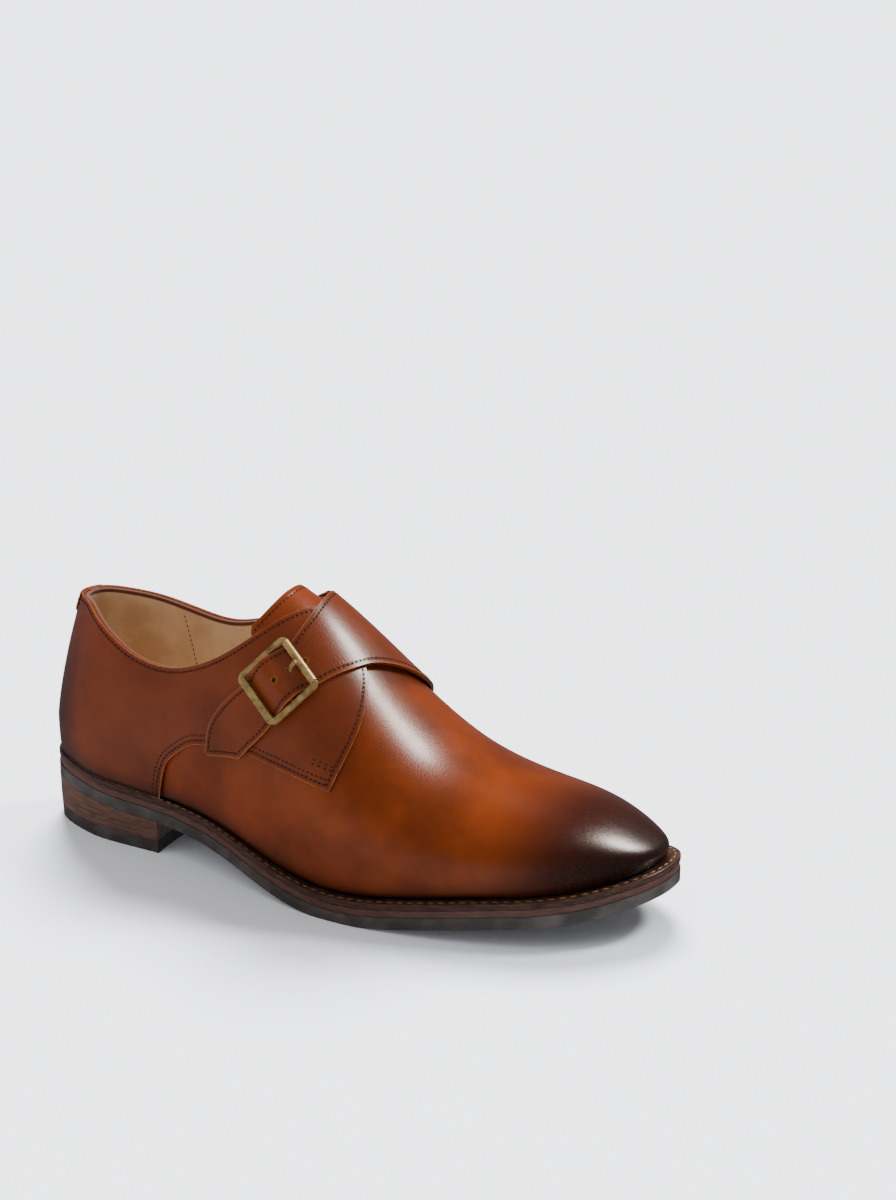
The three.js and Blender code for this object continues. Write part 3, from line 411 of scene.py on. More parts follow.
def calf(name, light, deep, dark, edge=None, toe_burnish=False, creased=False):
    """Calf leather, aniline dyed, waxed and polished: colour wanders between a light and a deep tone
    over a few centimetres, the fine grain breaks the highlight, cut edges are lightened by a painted
    highlight, and painted shade darkens the sides towards the welt."""
    material, tree, surface, place = new_material(name)
    split = add_node(tree, "ShaderNodeSeparateXYZ", links={"Vector": place}).outputs
    clouds = noise(tree, place, 26.0, 3.0, 0.55, "dye clouds, about 40 mm")
    streaks = noise(tree, place, 170.0, 4.0, 0.6, "mottling, about 6 mm")
    colour = mix(tree, ramp(tree, clouds, 0.30, 0.72), linear(light), linear(deep), "dye")
    colour = mix(tree, scaled(tree, ramp(tree, streaks, 0.45, 0.8), 0.22), colour, linear(deep), "mottling")
    # Painted shade: the sides darken low down towards the welt, and the crease along the welt is painted
    # nearly black.
    above = stored(tree, "above_welt")
    colour = mix(tree, scaled(tree, ramp(tree, above, 11.0, 1.0), 0.5), colour, linear(dark), "painted shade towards the welt")
    colour = mix(tree, ramp(tree, above, 3.2, 0.6), colour, linear("#120806"), "crease")
    polish = spread(tree, streaks, 0.26, 0.36)
    if toe_burnish:
        away = add_node(tree, "ShaderNodeVectorMath", {"operation": 'DISTANCE'}, {0: place, 1: BURNISH_CENTRE},
                        "from the toe tip").outputs["Value"]
        away = combine(tree, 'ADD', away, scaled(tree, combine(tree, 'SUBTRACT', clouds, 0.5), 0.016))
        colour = mix(tree, ramp(tree, away, 0.084, 0.040), colour, linear("#330d02"), "toe burnish")
        colour = mix(tree, ramp(tree, away, 0.060, 0.020), colour, linear("#180602"), "toe tip")
        polish = combine(tree, 'SUBTRACT', polish, scaled(tree, ramp(tree, away, 0.07, 0.03), 0.04))
    counter = combine(tree, 'MULTIPLY', ramp(tree, split["X"], -0.004, -0.034), ramp(tree, split["Z"], 0.11, 0.05))
    colour = mix(tree, scaled(tree, counter, 0.8), colour, linear(dark), "heel counter")
    pores = add_node(tree, "ShaderNodeTexVoronoi", {"feature": 'F1'}, {"Vector": place, "Scale": 1500.0},
                     "pores, about 0.7 mm").outputs["Distance"]
    grain = noise(tree, place, 900.0, 5.0, 0.65, "grain, about 1 mm")
    pressed = None
    if edge:
        rim = stored(tree, "rim")
        # Painted highlight: the cut edge is lightened as if its bevelled rim caught the light.
        colour = mix(tree, ramp(tree, rim, 0.5, 0.15), colour, linear(edge), "painted edge highlight")
        beside = combine(tree, 'ABSOLUTE', combine(tree, 'SUBTRACT', rim, STITCH_INSET))
        groove = ramp(tree, beside, 0.75, 0.15)
        # Painted shade darkens the pressed groove along the stitch line; the bump below sinks it.
        colour = mix(tree, scaled(tree, groove, 0.22), colour, linear(dark), "painted shade in the stitch groove")
        pressed = bumped(tree, groove, 0.5, 0.4, sunk=True)
    height = combine(tree, 'ADD', scaled(tree, grain, 0.7), scaled(tree, pores, 0.3))
    normal = bumped(tree, height, 0.3, 0.3, pressed)
    if creased:
        # Painted highlight: the walls of the punched holes take the lightened edge tone.
        colour = mix(tree, ramp(tree, stored(tree, "by_hole"), 0.35, 0.9), colour, linear(edge), "painted highlight on hole walls")
        # Fine parallel wrinkles, 1.2 mm apart, where the strap bends round the roller.
        bend = stored(tree, "past_bar")
        phase = combine(tree, 'ADD', scaled(tree, bend, 5.2), scaled(tree, noise(tree, place, 320.0, 2.0), 9.0))
        near = combine(tree, 'MULTIPLY', ramp(tree, bend, 14.0, 16.5), ramp(tree, bend, 29.0, 19.0))
        wrinkle = combine(tree, 'MULTIPLY', combine(tree, 'SINE', phase), near)
        normal = bumped(tree, wrinkle, 0.14, 0.12, normal)
    fill(tree, surface, {"Base Color": colour, "Normal": normal, "Roughness": polish, "IOR": 1.5,
                         "Specular IOR Level": 0.42, "Specular Tint": (1.0, 0.82, 0.70, 1.0),
                         "Coat Weight": 0.25, "Coat Roughness": 0.2})
    return material


TOPLINE = np.array([
    [0.000, 0.338, 0.338], [0.060, 0.335, 0.342], [0.105, 0.350, 0.372], [0.150, 0.415, 0.420],
    [0.203, 0.490, 0.458], [0.262, 0.505, 0.457], [0.312, 0.465, 0.408], [0.352, 0.405, 0.350],
    [0.395, 0.310, 0.255], [0.430, 0.205, 0.160], [0.455, 0.110, 0.085], [0.478, 0.000, 0.000],
])
THROAT = TOPLINE[-1, 0]
collar_edge = {-1: smooth_curve(TOPLINE[:, 0], TOPLINE[:, 1]), 1: smooth_curve(TOPLINE[:, 0], TOPLINE[:, 2])}


def topline(along, side):
    """Girth share of the collar's edge, 0 ahead of the throat."""
    along = np.asarray(along, float)
    return np.where(along >= THROAT, 0, np.maximum(0, collar_edge[side](np.minimum(along, THROAT))))


# The third colour, the dark tone, serves as painted shade low on the sides along the welt.
polished_vamp = calf("cognac_calf", "#6e2a00", "#501b00", "#1c0803", toe_burnish=True)
VAMP_FROM, VAMP_BACK_ROWS, VAMP_FRONT_ROWS, VAMP_COLUMNS = 0.225, 70, 190, 84
VAMP_RIM_DROP, VAMP_LEATHER = 0.05, 0.85
THROAT_EASE = 0.05   # share along, behind the throat, over which a shell's rim takes its own form
back_rows = np.linspace(VAMP_FROM, THROAT, VAMP_BACK_ROWS + 1)
vamp_stations = np.r_[back_rows, np.linspace(THROAT, 1, VAMP_FRONT_ROWS + 1)[1:]]


def half_shell(stations, drop, side, outer_lift, inner_lift, columns):
    """One side of a shell from the feather edge up to a drop below the topline, or to the spine."""
    behind = np.clip((THROAT - stations) / THROAT_EASE, 0, 1)
    top = np.where(stations < THROAT, np.minimum(topline(stations, side) + drop * behind, 1), 0)[:, None]
    girth = 1 - (1 - top) * np.linspace(0, 1, columns + 1)[None, :]
    up = girth - top + (1 - behind)[:, None]
    grids = [skin(stations[:, None] + 0 * girth, side * girth, lift(up) + 0 * girth)
             for lift in (outer_lift, inner_lift)]
    return grids if side > 0 else grids[::-1]


def store(mesh, name, values):
    """Keeps one number for each point of the mesh."""
    layer = mesh.attributes.new(name, 'FLOAT', 'POINT')
    layer.data.foreach_set("value", np.asarray(values, np.float32))


def tag_rim(mesh, border):
    """Keeps each point's distance in mm from the piece's cut edge, which the border's points follow."""
    border = border.reshape(-1, 3)
    tree = KDTree(len(border))
    for i, point in enumerate(border * MM):
        tree.insert(point, i)
    tree.balance()
    store(mesh, "rim", [tree.find(point.co)[2] / MM for point in mesh.vertices])


def tag_welt(mesh):
    """Keeps each point's height in mm over the welt."""
    points = np.empty(len(mesh.vertices) * 3, np.float32)
    mesh.vertices.foreach_get("co", points)
    x, _, z = points.reshape(-1, 3).T / MM
    store(mesh, "above_welt", z - PIECE_GAP - feather_height(share_at(x)))


halves = []
for side in (-1, 1):
    outer, inner = half_shell(vamp_stations, VAMP_RIM_DROP, side, lambda up: 0.0, lambda up: -VAMP_LEATHER,
                              VAMP_COLUMNS)
    halves.append(sheet_mesh("vamp", outer, inner, caps=(True, False), rim_rows=VAMP_BACK_ROWS))
    tag_welt(halves[-1])
finish_piece("vamp", halves, polished_vamp, "upper_leather", "upper")

# ---- Lining ----
# Unpolished tan calf glued inside the upper, from the insole up to the collar, where it meets the
# folded edge of the quarters. It has a seam down each side behind the instep.
def lining_leather(name, light, deep, folded=None):
    """Undyed lining calf, left matt: soft nap, faint rubbed patches."""
    material, tree, surface, place = new_material(name)
    rubbed = noise(tree, place, 45.0, 4.0)
    nap = noise(tree, place, 1100.0, 4.0, 0.7, "nap, about 0.9 mm")
    colour = mix(tree, ramp(tree, rubbed, 0.4, 0.65), linear(light), linear(deep), "rubbed")
    colour = mix(tree, scaled(tree, ramp(tree, nap, 0.5, 0.75), 0.3), colour, linear(deep), "nap")
    if folded:
        colour = mix(tree, ramp(tree, stored(tree, "rim"), 2.9, 2.3), colour, linear(folded), "folded edge")
    fill(tree, surface, {"Base Color": colour, "Normal": bumped(tree, nap, 0.35, 0.3), "Roughness": 0.82,
                         "Sheen Weight": 0.15, "Sheen Roughness": 0.5})
    return material


tan_lining = lining_leather("tan_lining_calf", "#c8aa88", "#b89672", folded="#52260f")
LINING_BACK_ROWS, LINING_FRONT_ROWS, LINING_COLUMNS = 120, 90, 60
LINING_DEPTH = 0.95
LINING_RIM = 0.03   # band under the topline where the lining fills the wall out to the quarters
lining_stations = np.r_[np.linspace(0, THROAT, LINING_BACK_ROWS + 1),
                        np.linspace(THROAT, 1, LINING_FRONT_ROWS + 1)[1:]]


def lining_back(up):
    """Lift of the lining's back: under the vamp's leather, and out to the quarters at the rim."""
    full = np.clip(1 - up / LINING_RIM, 0, 1)
    return -LINING_DEPTH + LINING_DEPTH * full * full * (3 - 2 * full)


halves = []
for side in (-1, 1):
    outer, inner = half_shell(lining_stations, 0.0, side, lining_back, lambda up: -UPPER_WALL, LINING_COLUMNS)
    halves.append(sheet_mesh("lining", outer, inner, caps=(False, False), rim_rows=LINING_BACK_ROWS))
    edge = np.linspace(0, THROAT, 400)
    tag_rim(halves[-1], skin(edge, side * topline(edge, side), 0 * edge))
finish_piece("lining", halves, tan_lining, "lining_leather", "upper", bevel=0.35, segments=2)

# ---- Quarters and strap ----
# Two flat-cut pieces of red-brown calf laid over the vamp and stitched along their edges. The medial
# one runs on over the instep as the strap, through the buckle, and ends in a pointed tail.
QUARTER_LEATHER, SKIN_GAP = 1.4, 0.45
BACK_SEAM = 0.0006
STRAP_RISE = QUARTER_LEATHER + 2 * SKIN_GAP
ROD_RADIUS, BUCKLE_LIFT, RUNNING_GAP, TAB_LEATHER = 0.8, 4.5, 0.2, 0.8
BAR_RISE = BUCKLE_LIFT + ROD_RADIUS + TAB_LEATHER + 3 * RUNNING_GAP


def over_bar(share):
    """Lift of the strap's underside on its way up over the buckle's centre bar."""
    return STRAP_RISE + share * (BAR_RISE - STRAP_RISE)


# Rows of a panel: its lower edge's share along and girth, then those of its upper edge, then the lift.
# Rows of three numbers end on the topline and lie on the vamp.
LATERAL_CORNERS = (7, 15)
LATERAL_ROWS = [
    (BACK_SEAM, -1.000, BACK_SEAM), (0.030, -1.000, 0.030), (0.060, -1.000, 0.060), (0.090, -1.000, 0.090),
    (0.125, -1.000, 0.125), (0.175, -1.000, 0.172), (0.220, -1.000, 0.212), (0.255, -1.000, 0.240),
    (0.268, -0.865, 0.262), (0.288, -0.800, 0.285), (0.315, -0.745, 0.312), (0.347, -0.713, 0.340),
    (0.390, -0.675, 0.370), (0.440, -0.648, 0.400), (0.500, -0.622, 0.428), (0.560, -0.600, 0.450),
    (0.573, -0.430, 0.456), (0.573, -0.280, 0.462), (0.560, -0.155, 0.468), (0.545, -0.095, 0.473),
]
STRAP_CORNERS = (7, 15, 31)
STRAP_ROWS = [
    (BACK_SEAM, 1.000, BACK_SEAM), (0.030, 1.000, 0.030), (0.060, 1.000, 0.060), (0.090, 1.000, 0.090),
    (0.125, 1.000, 0.125), (0.170, 1.000, 0.165), (0.215, 1.000, 0.205), (0.245, 1.000, 0.235),
    (0.258, 0.870, 0.262), (0.283, 0.780, 0.290), (0.315, 0.705, 0.318), (0.350, 0.655, 0.345),
    (0.400, 0.627, 0.372), (0.455, 0.615, 0.396), (0.505, 0.600, 0.418), (0.548, 0.580, 0.432, None, 0.4),
    (0.563, 0.455, 0.443, 0.118, 0.8), (0.576, 0.325, 0.450, 0.105, 1.3),
    (0.580, 0.200, 0.456, 0.085, 1.7), (0.571, 0.085, 0.460, 0.045, STRAP_RISE),
    (0.558, -0.012, 0.464, -0.010, STRAP_RISE), (0.548, -0.085, 0.467, -0.065, STRAP_RISE),
    (0.538, -0.160, 0.468, -0.125, STRAP_RISE), (0.525, -0.230, 0.466, -0.187, STRAP_RISE),
    (0.512, -0.294, 0.461, -0.242, over_bar(0.02)), (0.4995, -0.343, 0.4485, -0.293, over_bar(0.48)),
    (0.490, -0.391, 0.437, -0.338, over_bar(1)), (0.4795, -0.439, 0.425, -0.385, over_bar(0.55)),
    (0.468, -0.488, 0.412, -0.432, STRAP_RISE), (0.4535, -0.552, 0.391, -0.495, STRAP_RISE),
    (0.4345, -0.616, 0.373, -0.553, STRAP_RISE), (0.4155, -0.679, 0.360, -0.604, STRAP_RISE),
    (0.396, -0.697, 0.3535, -0.648, STRAP_RISE), (0.375, -0.718, 0.351, -0.695, STRAP_RISE),
    (0.354, -0.738, 0.350, -0.733, STRAP_RISE),
]


def panel_edges(rows, corners, side, steps):
    """Fine rows of a panel: low along, low girth, up along, up girth, lift, with a break at the corners."""
    rows = [row if len(row) > 3 else row + (None, SKIN_GAP) for row in rows]
    corners = (0, *corners, len(rows) - 1)
    found = []
    for first, final in zip(corners, corners[1:]):
        part = rows[first:final + 1]
        index = np.arange(len(part))
        t = np.linspace(0, len(part) - 1, (len(part) - 1) * steps + 1)
        girths = [side * float(topline(row[2], side)) if row[3] is None else row[3] for row in part]
        columns = [smooth_curve(index, [row[i] for row in part])(t) for i in (0, 1, 2)]
        up_girth = smooth_curve(index, girths)(t)
        rim = np.array([row[3] is None for row in part])
        on_rim = rim[np.floor(t).astype(int)] & rim[np.ceil(t).astype(int)]
        columns.append(np.where(on_rim, side * topline(columns[2], side), up_girth))
        columns.append(smooth_curve(index, [row[4] for row in part])(t))
        found.append(np.stack(columns, 1)[1 if first else 0:])
    return np.concatenate(found)


def panel_grid(edges, across, extra):
    t = np.linspace(0, 1, across + 1)[None, :]
    along = edges[:, 0:1] * (1 - t) + edges[:, 2:3] * t
    girth = edges[:, 1:2] * (1 - t) + edges[:, 3:4] * t
    return skin(along, girth, edges[:, 4:5] + extra + 0 * t)


def border_of(grid):
    """The edge of a grid of points at close spacing."""
    dense = []
    for line in (grid[:, 0], grid[:, -1], grid[0], grid[-1]):
        length = run_length(line)
        dense.append(read_off(line, length, np.linspace(0, length[-1], max(2, int(length[-1] / 0.4)))))
    return np.concatenate(dense)


# The fourth colour is the painted highlight on cut edges and hole walls; the third also paints shade along the
# welt and in the stitch groove.
red_calf = calf("red_brown_calf", "#5e260b", "#4e1d07", "#1c0a04", "#84491f", creased=True)
PANEL_STEPS, LATERAL_ACROSS, STRAP_ACROSS = 10, 56, 44
lateral_edges = panel_edges(LATERAL_ROWS, LATERAL_CORNERS, -1, PANEL_STEPS)
strap_edges = panel_edges(STRAP_ROWS, STRAP_CORNERS, 1, PANEL_STEPS)
QUARTER_SINK = 0.35  # the leather lies this much closer to the vamp than the plain solid does

# Where the buckle sits: x across the strap to the toe side, y up the strap, z outwards, in mm.
BUCKLE_AT, BUCKLE_UP, BUCKLE_DOWN = (0.464, -0.363), (0.486, -0.271), (0.442, -0.456)
out = Vector(last_normal(*BUCKLE_AT))
run = Vector(last_point(*BUCKLE_UP) - last_point(*BUCKLE_DOWN))
run = (run - out * run.dot(out)).normalized()
across = run.cross(out)
on_buckle = Matrix.Translation(Vector(skin(*BUCKLE_AT, BUCKLE_LIFT)) * MM) @ (
    Matrix((across, run, out)).transposed().to_4x4() @ Matrix.Scale(MM, 4))
HOLE_RADIUS, HOLE_PITCH, SLOT_RADIUS, PUNCH_LENGTH = 1.3, 7.0, 1.5, 9


def punched(mesh):
    """Cuts the strap's round holes: a free one, the prong's, and one beyond the roller."""
    work = bmesh.new()
    for y, radius in ((0, HOLE_RADIUS), (HOLE_PITCH, SLOT_RADIUS), (2 * HOLE_PITCH, HOLE_RADIUS)):
        bmesh.ops.create_cone(work, cap_ends=True, segments=28, radius1=radius, radius2=radius,
                              depth=PUNCH_LENGTH, matrix=on_buckle @ Matrix.Translation((0, y, 0)))
    punch_mesh = bpy.data.meshes.new("punch")
    work.to_mesh(punch_mesh)
    work.free()
    punch = bpy.data.objects.new("punch", punch_mesh)
    blank = bpy.data.objects.new("blank", mesh)
    for thing in (punch, blank):
        scene.collection.objects.link(thing)
    cut = blank.modifiers.new("holes", 'BOOLEAN')
    cut.object, cut.operation, cut.solver = punch, 'DIFFERENCE', 'EXACT'
    bpy.context.view_layer.update()
    result = bpy.data.meshes.new_from_object(blank.evaluated_get(bpy.context.evaluated_depsgraph_get()))
    for thing in (punch, blank):
        bpy.data.objects.remove(thing)
    return result


def tag_strap(mesh):
    """Keeps each point's distance in mm up the strap from the buckle's bar, and which points line a hole."""
    into = on_buckle.inverted()
    x, y, z = np.array([into @ point.co for point in mesh.vertices]).T
    store(mesh, "past_bar", np.where((abs(x) < 16) & (abs(z) < 14), y, -50.0))
    reach = np.min([np.hypot(x, y - at) for at in (0, HOLE_PITCH, 2 * HOLE_PITCH)], axis=0)
    store(mesh, "by_hole", (abs(z) < 6) & (reach < SLOT_RADIUS + 0.05))


def quarter_piece(name, edges, side, across, node, holes=False):
    inner, outer = panel_grid(edges, across, -QUARTER_SINK), panel_grid(edges, across, QUARTER_LEATHER)
    mesh = sheet_mesh(name, *((outer, inner) if side < 0 else (inner, outer)))
    if holes:
        mesh = punched(mesh)
        tag_strap(mesh)
    tag_rim(mesh, border_of(outer))
    tag_welt(mesh)
    finish_piece(name, [mesh], red_calf, "quarter_leather", node, bevel=0.45)


quarter_piece("quarter_lateral", lateral_edges, -1, LATERAL_ACROSS, "lateral_quarter")
quarter_piece("quarter_and_strap", strap_edges, 1, STRAP_ACROSS, "medial_quarter_strap", holes=True)

# ---- Tongue ----
# Cognac calf with its own lining, sewn to the vamp under the strap. Its rounded top shows over the
# instep, with one row of stitches below the edge.
TONGUE_ROWS = np.array([
    [0.422, 0.255], [0.430, 0.285], [0.442, 0.290], [0.455, 0.280],
    [0.480, 0.265], [0.505, 0.245], [0.530, 0.215], [0.550, 0.180],
])
TONGUE_TOP_CURVE, TONGUE_SLACK, TONGUE_LEATHER = 0.5, 1.0, 1.6
tongue_reach = smooth_curve(TONGUE_ROWS[:, 0], TONGUE_ROWS[:, 1])


def tongue_grid(lift, rows=70, across=48):
    first, final = TONGUE_ROWS[0, 0], TONGUE_ROWS[-1, 0]
    along = np.linspace(first, final, rows + 1)[:, None]
    girth = tongue_reach(along) * np.linspace(-1, 1, across + 1)[None, :]
    fade = (final - along) / (final - first)
    return skin(along - TONGUE_TOP_CURVE * fade * girth * girth, girth, lift + 0 * girth)


tongue_face = -(UPPER_WALL + TONGUE_SLACK)
outer, inner = tongue_grid(tongue_face), tongue_grid(tongue_face - TONGUE_LEATHER)
mesh = sheet_mesh("tongue", inner, outer)
tag_rim(mesh, border_of(outer))
tag_welt(mesh)
# The fourth colour is the painted highlight on the cut edges; the third also paints shade along the welt and in
# the stitch groove.
tongue_calf = calf("tongue_calf", "#742e0a", "#561f05", "#1c0904", "#8a5430")
finish_piece("tongue_leather", [mesh], tongue_calf, "upper_leather", "tongue", bevel=0.5)

# ---- Back strip ----
# A small cap folded over the topline at the back, which narrows to a strip down the back seam.
STRIP_ROWS = np.array([
    [0.337, 0.040], [0.370, 0.040], [0.400, 0.038], [0.415, 0.028], [0.430, 0.017],
    [0.470, 0.013], [0.530, 0.012], [0.590, 0.012], [0.640, 0.011],
])
STRIP_LEATHER = 1.1
strip_reach = smooth_curve(STRIP_ROWS[:, 0], STRIP_ROWS[:, 1])


def strip_grid(lift, rows=70, across=16):
    girth = np.linspace(STRIP_ROWS[0, 0], STRIP_ROWS[-1, 0], rows + 1)[:, None]
    reach = strip_reach(girth) * np.linspace(-1, 1, across + 1)[None, :]
    return skin(np.abs(reach), np.where(reach < 0, -girth, girth), lift + 0 * reach)


strip_under = SKIN_GAP + QUARTER_LEATHER + 0.05
strip_face = strip_under + STRIP_LEATHER - 0.3   # pressed thinner than it is cut
outer, inner = strip_grid(strip_face), strip_grid(strip_under)
mesh = sheet_mesh("back_strip", outer, inner)
tag_rim(mesh, border_of(outer))
tag_welt(mesh)
finish_piece("heel_strip", [mesh], red_calf, "quarter_leather", "back_strip", bevel=0.35)

# ---- Welt, midsole and outsole ----
# A leather welt stitched round the feather edge, a thin leather midsole, and a rubber outsole. The
# edges are trimmed flush, stained dark brown and waxed; only the rubber stays matt.
WELT_INNER_MARGIN, TREAD_FLAT = 8.0, 0.5
SOLE_ROWS = 220


def sole_edge(along, side, margin):
    """Plan points of the feather edge moved out by a margin in mm."""
    step = 0.004

    def point(a):
        turned = (a < 0) | (a > 1)
        share = station_at(np.where(a < 0, -a, np.where(a > 1, 2 - a, a)))
        here, there = feather(share, side), feather(share, -side)
        return np.where(turned[:, None], there, here)

    run = point(along + step) - point(along - step)
    run /= np.linalg.norm(run, axis=1, keepdims=True)
    return point(along) + np.stack([-run[:, 1], run[:, 0]], 1) * side * np.asarray(margin).reshape(-1, 1)


def sole_top(x):
    return feather_height(share_at(x))


def outsole_bottom(x):
    return np.maximum(0, sole_top(x) - SOLE_THICKNESS - TREAD_FLAT)


sole_stations = 0.5 - 0.5 * np.cos(np.linspace(0, np.pi, SOLE_ROWS + 1))
sole_margins = last["margin"](station_at(sole_stations))


PLATE_ACROSS = 14


def plan_grid(along, margins, across=PLATE_ACROSS):
    """Plan points between the two edges of the sole, moved out by margins in mm, rows by columns."""
    ends = [sole_edge(along, side, margins) for side in (-1, 1)]
    t = np.linspace(0, 1, across + 1)[None, :, None]
    return ends[0][:, None] * (1 - t) + ends[1][:, None] * t


def at_heights(plan, heights):
    return np.concatenate([plan, np.broadcast_to(heights, plan.shape[:2])[..., None]], -1)


def plate(name, inset, low_at, high_at):
    """A sole layer between two heights, its edge drawn in by inset."""
    plan = plan_grid(sole_stations, sole_margins - inset)
    return sheet_mesh(name, *(at_heights(plan, at(plan[..., 0])) for at in (high_at, low_at)))


def edge_leather(name, light, dark, roughness, layer_mm=None):
    """Leather edge, sanded, inked and waxed: faint horizontal fibres, darker nicks."""
    material, tree, surface, place = new_material(name)
    squeeze = add_node(tree, "ShaderNodeMapping", links={"Vector": place, "Scale": (1.0, 1.0, 9.0)})
    fibres = noise(tree, squeeze.outputs[0], 160.0, 5.0, 0.65, "fibres, 6 mm long")
    colour = mix(tree, ramp(tree, fibres, 0.38, 0.66), linear(dark), linear(light), "fibres")
    if layer_mm:
        height = add_node(tree, "ShaderNodeSeparateXYZ", links={"Vector": place}).outputs["Z"]
        turn = combine(tree, 'FRACT', combine(tree, 'DIVIDE', height, layer_mm * MM))
        line = ramp(tree, combine(tree, 'ABSOLUTE', combine(tree, 'SUBTRACT', turn, 0.5)), 0.40, 0.49)
        colour = mix(tree, scaled(tree, line, 0.7), colour, linear("#120a08"), "between layers")
    fill(tree, surface, {"Base Color": colour, "Normal": bumped(tree, fibres, 0.25, 0.3), "Roughness": roughness,
                         "Coat Weight": 0.15, "Coat Roughness": 0.35})
    return material


waxed_edge = edge_leather("waxed_welt_leather", "#452a1d", "#2a1811", 0.3)
ring_along = np.r_[sole_stations, sole_stations[-2:0:-1]]
ring_side = np.r_[np.full(SOLE_ROWS + 1, -1), np.full(SOLE_ROWS - 1, 1)]


def welt_line(offset, drop):
    """Points round the welt: offset gives their way out from the feather edge, from the welt's margin."""
    plan = np.zeros((len(ring_along), 2))
    for side in (-1, 1):
        pick = ring_side == side
        margin = last["margin"](station_at(ring_along[pick]))
        plan[pick] = sole_edge(ring_along[pick], side, offset(margin))
    return np.concatenate([plan, (sole_top(plan[:, 0]) - drop)[:, None]], 1)


WELT_COLUMNS = 10
offsets = [lambda m, t=t: -WELT_INNER_MARGIN + (m + WELT_INNER_MARGIN) * t
           for t in np.linspace(0, 1, WELT_COLUMNS + 1)]
top = np.stack([welt_line(o, 0.0) for o in offsets], 1)
bottom = np.stack([welt_line(o, WELT_THICKNESS) for o in offsets], 1)
finish_piece("welt_strip", [sheet_mesh("welt", bottom, top, ring=True)], waxed_edge, "welt_leather", "welt",
             bevel=0.55)
dark_edge = edge_leather("stained_midsole_leather", "#56362a", "#44291f", 0.34)
finish_piece("midsole_layer",
             [plate("midsole", 0.35, lambda x: sole_top(x) - WELT_THICKNESS - MIDSOLE_THICKNESS - 0.5,
                    lambda x: sole_top(x) - WELT_THICKNESS - 0.1)],
             dark_edge, "welt_leather", "midsole", bevel=0.4)


def moulded_rubber(name, light, dark):
    """Sole rubber, moulded with a fine matt texture and a little dust in it."""
    material, tree, surface, place = new_material(name)
    texture = noise(tree, place, 1300.0, 3.0, label="moulded grain, 0.8 mm")
    dust = noise(tree, place, 60.0, 5.0)
    colour = mix(tree, ramp(tree, dust, 0.4, 0.7), linear(dark), linear(light), "dust")
    fill(tree, surface, {"Base Color": colour, "Normal": bumped(tree, texture, 0.3, 0.2), "Roughness": 0.62,
                         "Specular IOR Level": 0.35})
    return material


sole_rubber = moulded_rubber("sole_rubber", "#4a4340", "#35302d")
OUTSOLE_DROP = WELT_THICKNESS + MIDSOLE_THICKNESS + 2 * PIECE_GAP
finish_piece("outsole_layer", [plate("outsole", 0.0, outsole_bottom, lambda x: sole_top(x) - OUTSOLE_DROP)],
             sole_rubber, "sole_rubber", "outsole", bevel=0.6)

# ---- Insole ----
# The footbed seen at the bottom of the shoe: tan lining leather over a cork-filled board.
INSOLE_THICKNESS, INSOLE_CLEARANCE, INSOLE_DISH = 3.0, 0.4, 0.8
plan = plan_grid(sole_stations, 0 * sole_margins - UPPER_WALL - INSOLE_CLEARANCE)
dish = INSOLE_DISH * (1 - np.linspace(-1, 1, PLATE_ACROSS + 1) ** 2)
grids = [at_heights(plan, sole_top(plan[..., 0]) + PIECE_GAP + rise) for rise in (INSOLE_THICKNESS - dish, 0.0)]
footbed_leather = lining_leather("footbed_calf", "#b08b64", "#94714c")
finish_piece("footbed", [sheet_mesh("footbed", *grids)], footbed_leather, "lining_leather", "insole", bevel=0.4)

# ---- Heel ----
# Two stacked leather lifts and a rubber top piece, cut to the sole's outline with a hollow breast, then
# sanded and inked as one block.
BREAST_AT, BREAST_HOLLOW, HEEL_TAPER = 33.8, 2.5, 0.9
TOP_PIECE, LOWER_LIFT = 6.0, 4.6
breast_height = float(outsole_bottom(np.array(BREAST_AT)))
breast_along = float(np.interp(share_at(BREAST_AT), arc_shares, mean_arc))


def heel_piece(name, low_at, high_at, rows=70, across=20):
    """A layer of the heel, tapered towards the floor, with the breast's hollow."""
    along = breast_along * np.sin(np.linspace(0, np.pi / 2, rows + 1))
    t = np.linspace(0, 1, across + 1)[None, :]
    grids = []
    for at in (high_at, low_at):
        inset = HEEL_TAPER * (1 - np.clip(float(at(np.array(0.0))) / breast_height, 0, 1))
        plan = plan_grid(along, last["margin"](station_at(along)) - inset, across)
        plan[..., 0] -= BREAST_HOLLOW * 4 * t * (1 - t) * (along / breast_along)[:, None] ** 2
        grids.append(at_heights(plan, at(plan[..., 0])))
    return sheet_mesh(name, *grids)


heel_stack = edge_leather("stacked_heel_leather", "#664434", "#472d20", 0.34, layer_mm=2.3)
lower_lift_top = TOP_PIECE + PIECE_GAP + LOWER_LIFT
for name, low_at, high_at, material, slot, node in [
        ("lift_upper", lambda x: lower_lift_top + 0.1 + 0 * x, lambda x: outsole_bottom(x) - 0.1, heel_stack,
         "heel_leather", "heel_lift_upper"),
        ("lift_lower", lambda x: TOP_PIECE + 0.1 + 0 * x, lambda x: lower_lift_top + 0 * x, heel_stack,
         "heel_leather", "heel_lift_lower"),
        ("top_piece", lambda x: 0 * x, lambda x: TOP_PIECE + 0 * x, sole_rubber,
         "sole_rubber", "heel_top_piece")]:
    finish_piece(name, [heel_piece(name, low_at, high_at)], material, slot, node, bevel=0.3)

